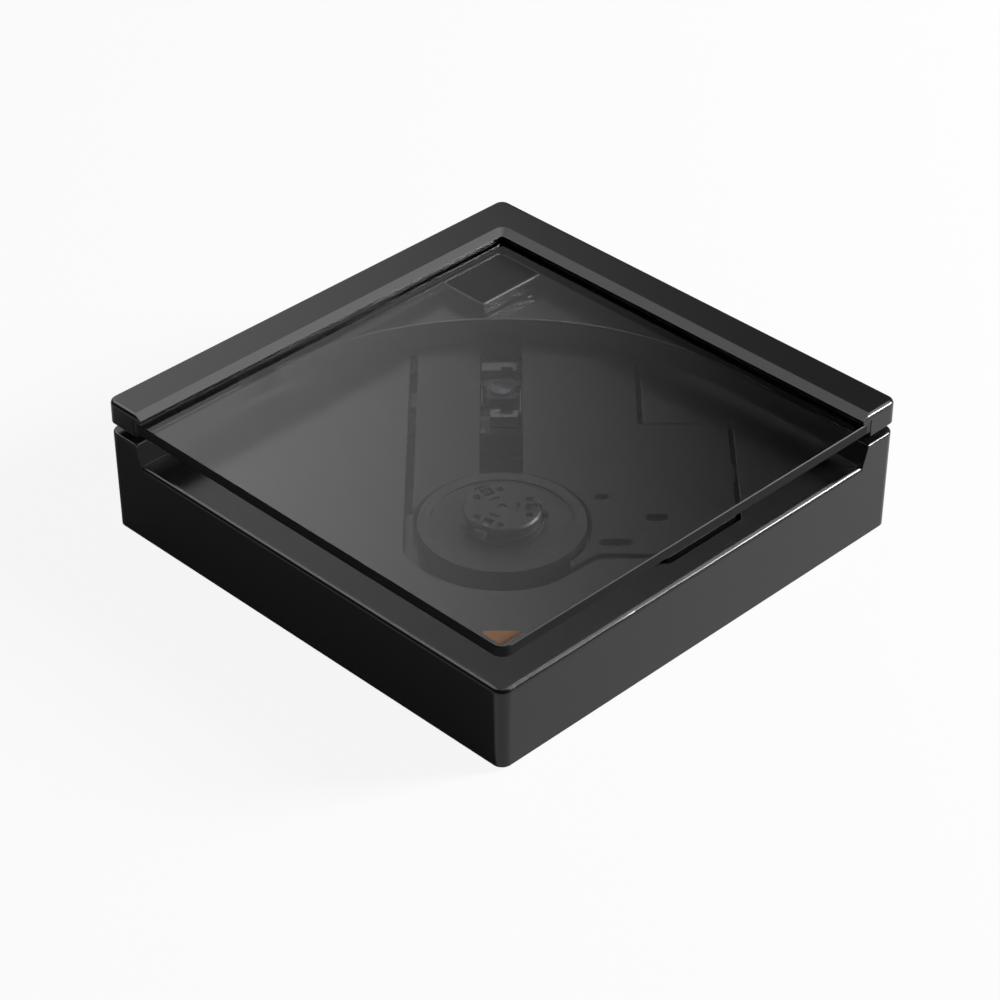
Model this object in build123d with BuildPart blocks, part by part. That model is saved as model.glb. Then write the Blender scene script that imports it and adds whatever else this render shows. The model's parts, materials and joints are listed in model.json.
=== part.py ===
from build123d import *
import os
from math import atan2, ceil, cos, degrees, hypot, pi, radians, sin, sqrt, tan

# A square disc player. Sizes are in millimetres, +Z is up out of the deck, and the origin is at the
# centre of the base. The two front sides (-Y and +X) are low, the two back sides (-X and +Y) are
# raised, and the lid's rail runs along the back sides. The mechanism stands at 45 degrees in the
# case: its own frame has its origin on the spindle, u towards the +X+Y corner and v towards the
# -X+Y corner, where the lid turns.

# ---- Case ----
case_side = 103.0  # outer square, at the top of the raised walls
case_draft = 0.65  # lean of the four walls, degrees
case_corner = 2.0  # upright corner radius
wall = 2.2
pad_height = 0.5  # the case stands this far off the wall or table
deck_height = 17.3  # top face of the deck
deck_thickness = 1.8
rear_wall_top = 21.6
rear_skin = 2.0  # thickness over the hollow of the raised walls
rim_fillet = 0.9
small_chamfer = 0.2  # on shafts, pads and buttons
overlap = 0.1  # how far joined shapes reach into each other
level = 0.01  # edges this close to a height count as at it
wall_fillet = 0.5
boss_radius = 3.0
boss_inset = 4.3  # cover boss centre, from the inner wall faces
boss_pilot = 0.8
boss_pilot_depth = 8.0

# ---- Disc and well ----
disc_diameter = 120.0
disc_thickness = 1.2
rear_wall_width = 9.0  # from the case's side to the well, at the middle of each raised wall
well_clearance = 1.0  # around the disc, at the deck
well_lean = 1.3  # the well wall opens this much towards its top
disc_rise = 1.05  # underside of the disc, over the deck

# ---- Opening of the deck over the mechanism, in the mechanism's frame ----
opening_front_radius = 19.2
opening_left_cut = 1.6  # the straight left side is this far inside the front's radius
opening_front_cut = 8.6  # u where the round front ends
opening_notch_u = 15.9
opening_notch_v = 10.9
opening_front = 9.7
opening_rim = 5.15  # deck left along the +X side
opening_right = 43.1
opening_step_u = 26.4
opening_step_v = 32.9

# ---- Wall pocket and ledge ----
pocket_length = 8.4
pocket_centre_y = -21.1
pocket_depth = 2.7
pocket_rise = 1.0  # floor of the pocket, over the deck
pocket_back = 1.2  # material behind the pocket
ledge_length = 11.5
ledge_centre_x = 33.1
ledge_depth = 0.4
ledge_width = 2.2

# ---- Lid ----
lid_gap = 1.5  # shadow gap over the raised walls
lid_thickness = 5.3
rail_width = 7.5
lip_width = 2.3  # the bevelled lip reaches over the plate
lip_thickness = 0.6
bevel_drop = 0.55
bevel_corner = 1.9  # inner corner radius, at the top of the bevel
lip_corner = 0.8  # and at its foot
rail_under_chamfer = 0.6
lid_edge_fillet = 0.9
plate_thickness = 2.1
plate_margin = 1.1  # from the rail's inner face to the plate's edge
plate_inset = 0.1  # from the lid's outer square to the plate's front edges
plate_corner = 2.2
plate_chamfer = 0.15
plate_back_corner = 3.0
lip_air = 0.55  # from the plate to the lip, filled by the gasket
gasket_recess = 0.4  # behind the lip's edge
mark_leg = 5.6
mark_inset = 1.9
mark_thickness = 0.08
mark_fillet = 0.5

# ---- Lid pivot ----
block_width = 11.2  # along X
block_length = 16.2  # along Y
block_margin_x = 2.6  # from the plate's edge
block_margin_y = 2.9
block_lead = 0.55  # the block's centre is this far off the pivot, along +X and -Y
tape_thickness = 0.1
tape_inset = 0.4  # from the block's edge
block_corner = 0.6
shaft_roof = 0.5  # of the block, left over the shaft
shaft_tip = 0.6  # of the shaft, below its ring
washer_thickness = 0.3
washer_radius = 5.2
pivot_radius = 2.5
pivot_clearance = 0.05
bush_wall = 1.3
bush_length = 4.6
bush_boss_wall = 1.6
ring_thickness = 0.5
ring_width = 1.6
ring_opening = 2.4
ring_air = 0.1
ring_groove = 0.5  # depth of the ring's groove in the shaft
magnet_width = 2.0
magnet_length = 10.0
magnet_height = 2.0
magnet_from_end = 13.0
magnet_clearance = 0.1
magnet_air = 0.2  # from the case's wall

# ---- Mechanism chassis ----
chassis_rise = 0.35  # over the deck
chassis_plate = 1.2
chassis_gap = 1.0  # around the chassis in the deck opening
chassis_left_gap = 1.5
chassis_wall = 1.2
chassis_depth = 5.25  # down to the lower edge of its walls
turntable_opening = 16.3
slot_width = 8.05
wall_notch_rise = 2.1  # over the deck
wall_notch_start = 58.0
wall_notch_end = 66.5
slot_end = 61.0
tail_end = 70.2
tail_arm_u = 17.1
tail_beam = 3.0
tail_drop = 1.25  # top of the low tail, under the chassis's plate
tail_depth = 5.3
tail_start = 47.0
tail_riser_end = 57.0
cutaway_right = 12.0
cutaway_front = -3.0
cutaway_left_front = 3.0
window_place = (18.1, 8.6)
window_size = (2.4, 1.8)
short_slot_place = (27.8, 2.2)
short_slot_size = (4.2, 2.1)
long_slot_place = (20.2, -5.4)
long_slot_size = (6.2, 2.0)
ear_positions = ((-22.5, 46.0), (-22.5, 6.0), (47.5, 22.0), (17.5, -17.5))
ear_roots = ((-15.5, 46.0), (-15.5, 6.0), (41.5, 22.0), (12.0, -12.0))
ear_radius = 4.2
ear_arm = 5.0
damper_flange_radius = 3.6
damper_waist_radius = 2.6
damper_flange = 1.2
damper_clearance = 0.05
shoulder_radius = 1.4
shoulder_head_radius = 3.0
shoulder_head = 1.0
shoulder_thread_radius = 0.65
shoulder_thread = 1.6
recess_length = 3.0  # cross recess in the head
recess_width = 0.7
recess_depth = 0.6

# ---- Turntable, hub and spindle motor ----
turntable_radius = 15.2
turntable_web = 0.95
turntable_skirt_wall = 1.2
turntable_skirt = 4.05  # height of the turntable, skirt included
turntable_pad_inner = 13.0
turntable_pad_thickness = 0.3
hub_radius = 7.45  # at the collar, which centres the disc
hub_collar = 1.2  # height of the collar over the disc seat
hub_step = 0.3  # the hub is this much slimmer over its collar
hub_height = 3.17  # over the disc seat
hub_wall = 1.3
hub_roof = 0.8
hub_core_radius = 2.2
core_air = 0.5  # from the motor platform to the turntable's core
hub_floor = 1.15  # over the disc seat, solid up to here
hub_edge = 0.35
roof_window_inner = 4.2
roof_window_length = 2.2
roof_window_width = 2.1
roof_bar = 0.35  # between each window and the open end of its claw's way
roof_hole_radius = 4.9
roof_hole_side = 2.4
roof_hole_size = 1.2
roof_slit_radius = 2.9
roof_slit_width = 0.55
roof_slit_length = 2.2
shaft_radius = 0.95
shaft_clearance = 0.05
shaft_recess = 0.3
shaft_end_cap = 0.6
claw_count = 3
claw_width = 1.9
claw_stub_width = 1.6
claw_height = 1.0
claw_reach = 0.8  # beyond the hub
claw_tail = 3.4  # radius of the claw's inner end
claw_travel = 0.85
nose_sink = 0.3  # top of the claw's nose, below the hub's top
nose_top_slope = 0.4
nose_under_slope = 0.3
claw_clearance = 0.1
claw_spring_size = 0.5
motor_radius = 11.0
motor_height = 5.3
motor_end_wall = 0.5
motor_nose_rise = 0.3
motor_nose_radius = 3.0
platform_radius = 18.3
platform_air = 0.2  # from the turntable's skirt to the motor platform
platform_thickness = 1.2
platform_back = 10.0
motor_nose_clearance = 0.1
motor_screw_count = 3
motor_screw_turn = 90.0
motor_screw_circle = 7.0
motor_screw_radius = 0.85
motor_screw_head_radius = 1.5
motor_screw_head = 0.4
motor_screw_bite = 1.2
motor_screw_clearance = 0.1
motor_edge = 0.5

# ---- Pickup, in the mechanism's frame; lens_v is the lens at rest ----
lens_u = -0.15
lens_v = 45.8
sled_under_rod = 3.3  # down from the rods' centres
sled_over_rod = 1.8
sled_half_width = 8.5
sled_front = 11.3
sled_back = 9.5
wing_front = 5.0
wing_under_rod = 2.4
rack_arm_front = 4.0
optic_radius = 1.8
base_thickness = 0.4
base_left = 4.0  # from the lens to the base's edges
base_right = 3.95
base_front = 9.4
base_back = 9.3
base_window = 4.2  # half the opening round the lens holder, along v
base_rim = 0.5
yoke_rise = 2.6  # over the sled
rear_yoke_left = 3.75
rear_yoke_right = 3.0
rear_yoke_front = 6.5
rear_yoke_thickness = 1.6
rear_yoke_gap_left = -0.05
rear_yoke_gap_right = 2.2
front_yoke_left = 2.1
front_yoke_right = 3.1
front_yoke_back = 6.75
front_yoke_thickness = 1.0
front_yoke_block = 1.95
front_yoke_tab = 2.3
front_yoke_air = 0.3  # from the base's front edge
post_width = 0.8
post_length = 1.2
post_front = 8.4
post_rise = 2.5
pad_patch_length = 3.7
pad_patch_width = 1.85
pad_patch_front = 9.4
pad_patch_thickness = 0.2
pad_patch_air = 0.1
rod_drop = 5.85  # centres of the rods, below the chassis's top
main_rod_u = -11.4
main_rod_radius = 1.25
side_rod_u = 11.0
side_rod_radius = 0.75
rod_clearance = 0.03
rod_front = 15.6
rod_block = 3.2
rod_end = 0.6  # material left behind the rods' far ends
sleeve_wall = 1.2
carrier_width = 5.6
carrier_length = 6.8
carrier_corner = 0.8
carrier_rise = 1.0  # underside of the lens holder, over the sled
arm_span = 7.6  # over the lens holder's two arms
arm_length = 1.2
arm_offset = 1.1
carrier_height = 1.7
focus_travel = 0.5
lens_radius = 2.15
lens_thickness = 1.2
lens_ring = 0.35
lens_crown = 0.35
wire_radius = 0.1
wire_spread = 3.7
wire_rise = 1.25  # lower wires, over the sled
wire_step = 0.95

# ---- Feed ----
rack_module = 0.5
pinion_teeth = 12
wheel_module = 0.4
wheel_teeth = 40
motor_pinion_teeth = 10
pressure_angle = 20.0
tooth_backlash = 0.06
tooth_addendum = 0.9  # in modules
centre_allowance = 0.03  # added to each centre distance
rack_u = 15.0  # pitch line of the rack
rack_body = 1.0
rack_under_rod = 2.5
rack_arm_thickness = 1.5
fork_length = 4.0
rack_height = 1.6
rack_front = 29.0  # from the lens to the rack's near end
rack_back = 7.5
gear_v = 30.0
wheel_under_rack = 2.4
wheel_thickness = 1.2
gear_pin_radius = 0.75
gear_pin_clearance = 0.04
gear_boss_radius = 2.2
gear_boss_air = 0.5
gear_pin_seat = 3.5
gear_pin_head_radius = 1.7
gear_pin_head = 0.4
gear_end_air = 0.15
feed_motor_angle = -40.0
feed_motor_radius = 6.0
feed_motor_edge = 0.4
feed_motor_under_rod = 2.8
feed_shaft_radius = 0.5
feed_shaft_bearing = 4.0
feed_socket_wall = 0.9
feed_socket_depth = 3.0
feed_socket_clearance = 0.05

# ---- Cover and wall fixing ----
cover_thickness = 1.8
cover_clearance = 0.15
cover_screw_radius = 1.1
cover_screw_head_radius = 2.1
cover_screw_length = 7.0
cover_head_clearance = 0.1
pad_radius = 5.0
pad_centre = 35.0
pad_recess = 0.5
keyhole_spacing = 40.0
keyhole_y = 10.0  # centre of the round opening
keyhole_head_radius = 4.0
keyhole_slot_radius = 2.0
keyhole_slot = 8.0  # from the round opening's centre to the slot's end centre
shroud_wall = 1.0
shroud_height = 3.4
shroud_roof = 0.6

# ---- Main board, ports and buttons ----
board_bottom = 3.6
board_thickness = 1.2
board_margin = 1.8  # from the inner wall faces
board_arm = 20.0
board_notch = 8.8  # keeps clear of the cover bosses
board_reach_y = -12.0
board_reach_x = 40.0
board_screw_radius = 0.9
board_screw_inset = 3.0  # from the board's edges
board_screw_head_radius = 1.7
board_screw_head = 1.0
board_screw_clearance = 0.1
standoff_radius = 2.4
jack_y = -3.0
jack_width = 6.0
jack_length = 12.0
jack_height = 5.0
jack_nose_radius = 2.9
jack_bore_radius = 1.78
jack_bore_length = 12.0
jack_air = 0.1  # from the jack's body to the wall
port_clearance = 0.15
charge_y = 13.0
charge_width = 8.94
charge_height = 3.26
charge_depth = 7.3
charge_shell = 0.3
charge_tongue_width = 6.7
charge_tongue_thickness = 0.7
charge_tongue_recess = 0.7
button_names = ("mode_button", "back_button", "play_button", "next_button", "stop_button")
button_pitch = 12.0
button_width = 8.0
button_height = 3.2
button_z = 8.6
button_clearance = 0.15
button_flange = 0.7
button_flange_thickness = 0.9
button_travel = 0.4
switch_width = 6.0
switch_depth = 2.3
switch_height = 5.6
switch_air = 0.1
switch_nub_radius = 1.1
button_wall_air = 0.05

# ---- Battery ----
battery_width = 18.0
battery_length = 30.0
battery_thickness = 9.0
battery_u = -37.0
battery_v = 20.5
battery_tape = 0.3
battery_corner = 1.5

# ---- Ribbon cable of the pickup ----
ribbon_u = 4.0
ribbon_width = 6.0
ribbon_thickness = 0.12
ribbon_fall = 1.7  # of the lower run, under the sled
ribbon_bend_v = 36.0
ribbon_start_v = 44.0
connector_v = 64.5
connector_width = 9.0
connector_depth = 3.2
connector_height = 1.6
ribbon_drop = 3.0

# ---- Components: distances from the board's -X and +Y edges, then length, width and height ----
chip_places = ((10.8, 32.8, 10.0, 10.0, 1.0), (48.8, 12.8, 12.0, 8.0, 1.2), (13.8, 20.8, 6.0, 6.0, 0.9))
capacitor_places = ((60.8, 9.8), (66.8, 9.8), (76.8, 6.8))
capacitor_radius = 2.0
capacitor_height = 5.2

# ---- Worked out from the sizes above ----
half = case_side / 2
inner_half = half - wall - (rear_wall_top - pad_height) * tan(radians(case_draft))
base_side = case_side - 2 * (rear_wall_top - pad_height) * tan(radians(case_draft))
deck_under = deck_height - deck_thickness
rear_cavity_top = rear_wall_top - rear_skin
well_radius = disc_diameter / 2 + well_clearance
well_wall = half - rear_wall_width
spindle_offset = well_radius - well_wall  # spindle, from each middle plane of the case
disc_seat = deck_height + disc_rise
opening_left = opening_front_radius - opening_left_cut
well_height = rear_wall_top - deck_height
beyond = 10.0  # how far cutting tools reach past what they cut
cover_top = pad_height + cover_thickness
boss_centre = inner_half - boss_inset
cover_half = inner_half - cover_clearance
board_half = inner_half - board_margin
board_top = board_bottom + board_thickness
lid_bottom = rear_wall_top + lid_gap
lid_top = lid_bottom + lid_thickness
rail_inner = half - rail_width
lip_inner = rail_inner - lip_width
bevel_foot = lid_top - bevel_drop
lip_under = bevel_foot - lip_thickness
plate_top = lip_under - lip_air
plate_bottom = plate_top - plate_thickness
plate_edge = rail_inner - plate_margin
plate_front = half - plate_inset
block_top = plate_bottom - tape_thickness
block_bottom = rear_wall_top + washer_thickness
pivot_x = -plate_edge + block_margin_x + block_width / 2
pivot_y = plate_edge - block_margin_y - block_length / 2
bush_radius = pivot_radius + pivot_clearance + bush_wall
bush_bottom = rear_wall_top - bush_length
ring_top = bush_bottom - ring_air
chassis_top = deck_height + chassis_rise
chassis_under = chassis_top - chassis_plate
chassis_floor = chassis_top - chassis_depth
tail_top = chassis_under - tail_drop
tail_floor = tail_top - tail_depth
pocket_floor = deck_height + pocket_rise
wall_notch_top = deck_height + wall_notch_rise
turntable_top = disc_seat - turntable_pad_thickness
turntable_bottom = turntable_top - turntable_skirt
platform_height = turntable_bottom - platform_air
rod_height = chassis_top - rod_drop
sled_bottom = rod_height - sled_under_rod
sled_top = rod_height + sled_over_rod
wing_bottom = rod_height - wing_under_rod
yoke_top = sled_top + yoke_rise
post_top = sled_top + post_rise
carrier_bottom = sled_top + carrier_rise
carrier_top = carrier_bottom + carrier_height
wire_low = sled_top + wire_rise
wire_high = wire_low + wire_step
rack_bottom = rod_height - rack_under_rod
rack_top = rack_bottom + rack_height
wheel_bottom = rack_bottom - wheel_under_rack
feed_motor_bottom = rod_height - feed_motor_under_rod
ribbon_leg = sled_bottom - ribbon_fall
hub_top = disc_seat + hub_height
claw_way_open = roof_window_inner + roof_window_length + roof_bar
claw_floor = disc_seat + hub_floor
claw_spring_bottom = claw_floor + claw_clearance + (claw_height - claw_spring_size) / 2
button_count = len(button_names)
button_back = inner_half - button_wall_air - button_flange_thickness
platform_under = platform_height - platform_thickness
motor_bottom = platform_under - motor_height
core_bottom = platform_height + core_air
ear_top = chassis_floor + chassis_plate
damper_bottom = chassis_floor - damper_flange
damper_top = ear_top + damper_flange
pinion_radius = rack_module * pinion_teeth / 2
gear_u = rack_u + pinion_radius + centre_allowance
feed_centre = wheel_module * (wheel_teeth + motor_pinion_teeth) / 2 + centre_allowance
feed_u = gear_u + feed_centre * cos(radians(feed_motor_angle))
feed_v = gear_v + feed_centre * sin(radians(feed_motor_angle))
left_post_front = base_front - pad_patch_length - pad_patch_air
rack_pitch = pi * rack_module
rack_root = rack_u - 1.25 * rack_module
gear_boss_bottom = rack_top + gear_boss_air
jack_z = board_top + jack_height / 2
charge_z = board_top + charge_height / 2
outer_at_ports = half - (rear_wall_top - jack_z) * tan(radians(case_draft))
outer_at_buttons = half - (rear_wall_top - button_z) * tan(radians(case_draft))

mech_plane = Plane(origin=(spindle_offset, -spindle_offset, 0), x_dir=(1, 1, 0), z_dir=(0, 0, 1))
# upright plane across the rods at their near ends, x along u and y up, facing the turntable's far side
rod_plane = Plane(
    origin=mech_plane.from_local_coords((0, rod_front, 0)),
    x_dir=(1, 1, 0),
    z_dir=(1, -1, 0),
)


def well_outline(radius, reach):
    """Closed outline of the disc well: two straight walls joined by the arc round the disc."""
    side = radius - spindle_offset
    middle = radius / sqrt(2)
    with BuildLine() as outline:
        Line((-side, -reach), (-side, -spindle_offset))
        ThreePointArc(
            (-side, -spindle_offset),
            (spindle_offset - middle, middle - spindle_offset),
            (spindle_offset, side),
        )
        Line((spindle_offset, side), (reach, side))
        Line((reach, side), (reach, -reach))
        Line((reach, -reach), (-side, -reach))
    return outline.line


def opening_outline():
    """Closed outline of the deck opening, in the mechanism's frame."""
    trim = (half - opening_rim - spindle_offset) * sqrt(2)
    left_front = (-opening_left, -sqrt(opening_front_radius**2 - opening_left**2))
    round_end = (opening_front_cut, -sqrt(opening_front_radius**2 - opening_front_cut**2))
    notch = (opening_notch_u, -opening_notch_v)
    front_start = (opening_notch_u + opening_notch_v - opening_front, -opening_front)
    front_end = (trim - opening_front, -opening_front)
    right_start = (opening_right, opening_right - trim)
    right_end = (opening_right, opening_step_v)
    step = (opening_step_u, opening_step_v)
    back_right = (opening_step_u, sqrt(well_radius**2 - opening_step_u**2))
    back_left = (-opening_left, sqrt(well_radius**2 - opening_left**2))
    with BuildLine() as outline:
        ThreePointArc(left_front, (0, -opening_front_radius), round_end)
        Polyline(round_end, notch, front_start, front_end, right_start, right_end, step, back_right)
        ThreePointArc(back_right, (0, well_radius), back_left)
        Line(back_left, left_front)
    return outline.line


def involute_points(teeth, module, tooth_turn):
    """Points round a spur gear, the first tooth centred on tooth_turn degrees."""
    pitch_radius = module * teeth / 2
    base_radius = pitch_radius * cos(radians(pressure_angle))
    root_radius = pitch_radius - 1.25 * module
    tip_radius = pitch_radius + tooth_addendum * module
    flank_start = max(base_radius, root_radius)
    flank_steps = 4
    involute_at_pitch = tan(radians(pressure_angle)) - radians(pressure_angle)
    half_tooth = (pi * module / 2 - tooth_backlash) / 2 / pitch_radius
    flank = []
    for step in range(flank_steps + 1):
        radius = flank_start + (tip_radius - flank_start) * step / flank_steps
        roll = sqrt(max(radius**2 / base_radius**2 - 1, 0))
        involute = roll - atan2(roll, 1)
        flank.append((radius, half_tooth + involute_at_pitch - involute))
    points = []
    for tooth in range(teeth):
        middle = radians(tooth_turn) + 2 * pi * tooth / teeth
        root_angle = flank[0][1]
        rising = [(radius, -angle) for radius, angle in flank]
        falling = [(radius, angle) for radius, angle in reversed(flank)]
        if base_radius > root_radius:
            rising.insert(0, (root_radius, -root_angle))
            falling.append((root_radius, root_angle))
        for radius, angle in rising + falling:
            points.append((radius * cos(middle + angle), radius * sin(middle + angle)))
    return points


# ---- Upper housing ----
with BuildPart() as upper_housing:
    with BuildSketch(Plane.XY.offset(pad_height)):
        RectangleRounded(base_side, base_side, case_corner)
    extrude(amount=rear_wall_top - pad_height, taper=-case_draft)
    with BuildSketch(Plane.XY.offset(deck_height)):
        add(well_outline(well_radius, half + beyond))
        make_face()
    extrude(amount=well_height, taper=-degrees(atan2(well_lean, well_height)), mode=Mode.SUBTRACT)
    top_edges = upper_housing.edges().filter_by_position(Axis.Z, rear_wall_top - level, rear_wall_top + level)
    fillet(top_edges, wall_fillet)
    rim_edges = upper_housing.edges().filter_by_position(Axis.Z, deck_height - level, deck_height + level)
    fillet([edge for edge in rim_edges if max(edge.center().X, -edge.center().Y) > half - 1], rim_fillet)
    # hollow, open at the bottom
    with BuildSketch(Plane.XY.offset(pad_height)):
        RectangleRounded(2 * inner_half, 2 * inner_half, case_corner)
    extrude(amount=deck_under - pad_height, mode=Mode.SUBTRACT)
    with BuildSketch(Plane.XY.offset(deck_under)):
        RectangleRounded(2 * inner_half, 2 * inner_half, case_corner)
        add(well_outline(well_radius + well_lean + wall, half + beyond))
        make_face(mode=Mode.SUBTRACT)
    extrude(amount=rear_cavity_top - deck_under, mode=Mode.SUBTRACT)
    # pocket in the -X wall and shallow ledge on the +Y wall
    with Locations((-inner_half, pocket_centre_y, deck_under)):
        Box(
            inner_half - well_wall,
            pocket_length + 2 * pocket_back,
            rear_cavity_top - deck_under,
            align=(Align.MIN, Align.CENTER, Align.MIN),
        )
    with Locations((-well_wall - well_lean - pocket_depth, pocket_centre_y, pocket_floor)):
        Box(
            pocket_depth + well_lean + beyond,
            pocket_length,
            beyond,
            align=(Align.MIN, Align.CENTER, Align.MIN),
            mode=Mode.SUBTRACT,
        )
    with Locations((ledge_centre_x, well_wall + well_lean + ledge_width, rear_wall_top - ledge_depth)):
        Box(ledge_length, beyond, beyond, align=(Align.CENTER, Align.MAX, Align.MIN), mode=Mode.SUBTRACT)
    # notch in the well's wall for the pickup's far end
    with BuildSketch(mech_plane.offset(deck_under - overlap)):
        with Locations((lens_u, wall_notch_start)):
            Rectangle(slot_width, wall_notch_end - wall_notch_start, align=(Align.CENTER, Align.MIN))
    extrude(amount=wall_notch_top - deck_under + overlap, mode=Mode.SUBTRACT)
    # opening over the mechanism
    with BuildSketch(mech_plane.offset(deck_under - 1)):
        add(opening_outline())
        make_face()
    extrude(amount=deck_height - deck_under + 2, mode=Mode.SUBTRACT)
    # bosses for the cover screws
    with BuildSketch(Plane.XY.offset(cover_top)):
        with GridLocations(2 * boss_centre, 2 * boss_centre, 2, 2):
            Circle(boss_radius)
    extrude(amount=deck_under + overlap - cover_top)
    with Locations((-boss_centre, boss_centre, deck_under)):
        Cylinder(boss_radius, rear_cavity_top - deck_under, align=(Align.CENTER, Align.CENTER, Align.MIN))
    with BuildSketch(Plane.XY.offset(cover_top)):
        with GridLocations(2 * boss_centre, 2 * boss_centre, 2, 2):
            Circle(boss_pilot)
    extrude(amount=boss_pilot_depth, mode=Mode.SUBTRACT)
    # seats for the dampers under the deck
    with BuildSketch(mech_plane.offset(damper_top)):
        with Locations(*ear_positions):
            Circle(shoulder_head_radius)
    extrude(amount=deck_under + overlap - damper_top)
    with BuildSketch(mech_plane.offset(damper_top)):
        with Locations(*ear_positions):
            Circle(shoulder_thread_radius)
    extrude(amount=shoulder_thread + 2 * overlap, mode=Mode.SUBTRACT)
    # boss and bore for the pivot bush
    with Locations((pivot_x, pivot_y, bush_bottom)):
        Cylinder(
            bush_radius + bush_boss_wall,
            rear_cavity_top + overlap - bush_bottom,
            align=(Align.CENTER, Align.CENTER, Align.MIN),
        )
        Cylinder(bush_radius, beyond, align=(Align.CENTER, Align.CENTER, Align.MIN), mode=Mode.SUBTRACT)
    # ports in the -X wall
    with BuildSketch(Plane.YZ.offset(-half - 1)):
        with Locations((jack_y, jack_z)):
            Circle(jack_nose_radius + port_clearance)
        with Locations((charge_y, charge_z)):
            SlotOverall(charge_width + 2 * port_clearance, charge_height + 2 * port_clearance)
    extrude(amount=wall + 2, mode=Mode.SUBTRACT)
    # button openings in the +Y wall
    with BuildSketch(Plane.XZ.offset(-half - 1)):
        with Locations((0, button_z)):
            with GridLocations(button_pitch, 1, button_count, 1):
                SlotOverall(button_width + 2 * button_clearance, button_height + 2 * button_clearance)
    extrude(amount=wall + 2, mode=Mode.SUBTRACT)

# ---- Bottom cover with its keyholes ----
with BuildPart() as bottom_cover:
    with BuildSketch(Plane.XY.offset(pad_height)):
        RectangleRounded(2 * cover_half, 2 * cover_half, case_corner)
    extrude(amount=cover_thickness)
    # shrouds behind the keyholes
    with BuildSketch(Plane.XY.offset(cover_top)):
        with Locations((-keyhole_spacing / 2, keyhole_y), (keyhole_spacing / 2, keyhole_y)):
            with Locations((0, keyhole_slot / 2)):
                RectangleRounded(
                    2 * (keyhole_head_radius + shroud_wall),
                    keyhole_slot + 2 * (keyhole_head_radius + shroud_wall),
                    shroud_wall,
                )
                RectangleRounded(
                    2 * keyhole_head_radius,
                    keyhole_slot + 2 * keyhole_head_radius,
                    shroud_wall / 2,
                    mode=Mode.SUBTRACT,
                )
    extrude(amount=shroud_height)
    with BuildSketch(Plane.XY.offset(cover_top + shroud_height)):
        with Locations((-keyhole_spacing / 2, keyhole_y), (keyhole_spacing / 2, keyhole_y)):
            with Locations((0, keyhole_slot / 2)):
                RectangleRounded(
                    2 * (keyhole_head_radius + shroud_wall),
                    keyhole_slot + 2 * (keyhole_head_radius + shroud_wall),
                    shroud_wall,
                )
    extrude(amount=shroud_roof)
    with BuildSketch(Plane.XY.offset(pad_height)):
        with Locations((-keyhole_spacing / 2, keyhole_y), (keyhole_spacing / 2, keyhole_y)):
            Circle(keyhole_head_radius)
            with Locations((0, keyhole_slot / 2)):
                SlotCenterToCenter(keyhole_slot, 2 * keyhole_slot_radius, rotation=90)
    extrude(amount=cover_thickness, mode=Mode.SUBTRACT)
    # standoffs for the board
    board_screw_places = (
        (-board_half + board_screw_inset, board_reach_y + board_screw_inset),
        (-board_half + board_arm - board_screw_inset, board_reach_y + board_screw_inset),
        (board_reach_x - board_screw_inset, board_half - board_arm + board_screw_inset),
        (-board_half + board_screw_inset, board_half - board_notch - board_screw_inset),
    )
    with BuildSketch(Plane.XY.offset(cover_top)):
        with Locations(*board_screw_places):
            Circle(standoff_radius)
    extrude(amount=board_bottom - cover_top)
    with BuildSketch(Plane.XY.offset(cover_top)):
        with Locations(*board_screw_places):
            Circle(board_screw_radius)
    extrude(amount=board_bottom - cover_top, mode=Mode.SUBTRACT)
    # screw holes and pad recesses
    with Locations(Plane.XY.offset(pad_height)):
        with GridLocations(2 * boss_centre, 2 * boss_centre, 2, 2):
            with Locations(Rotation(180, 0, 0)):
                CounterSinkHole(
                    cover_screw_radius,
                    cover_screw_head_radius + cover_head_clearance,
                    depth=cover_thickness,
                )
    with BuildSketch(Plane.XY.offset(pad_height)):
        with GridLocations(2 * pad_centre, 2 * pad_centre, 2, 2):
            Circle(pad_radius)
    extrude(amount=pad_recess, mode=Mode.SUBTRACT)

with BuildPart() as cover_screws:
    with BuildSketch(Plane.XY.offset(pad_height)) as screw_heads:
        with GridLocations(2 * boss_centre, 2 * boss_centre, 2, 2):
            Circle(cover_screw_head_radius)
    extrude(amount=cover_screw_head_radius - boss_pilot, taper=45)
    with BuildSketch(Plane.XY.offset(pad_height)):
        with GridLocations(2 * boss_centre, 2 * boss_centre, 2, 2):
            Circle(boss_pilot)
    extrude(amount=cover_screw_length)

with BuildPart() as rubber_pads:
    with BuildSketch(Plane.XY):
        with GridLocations(2 * pad_centre, 2 * pad_centre, 2, 2):
            Circle(pad_radius)
    extrude(amount=pad_height + pad_recess)
    chamfer(rubber_pads.edges().group_by(Axis.Z)[0], small_chamfer)

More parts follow.
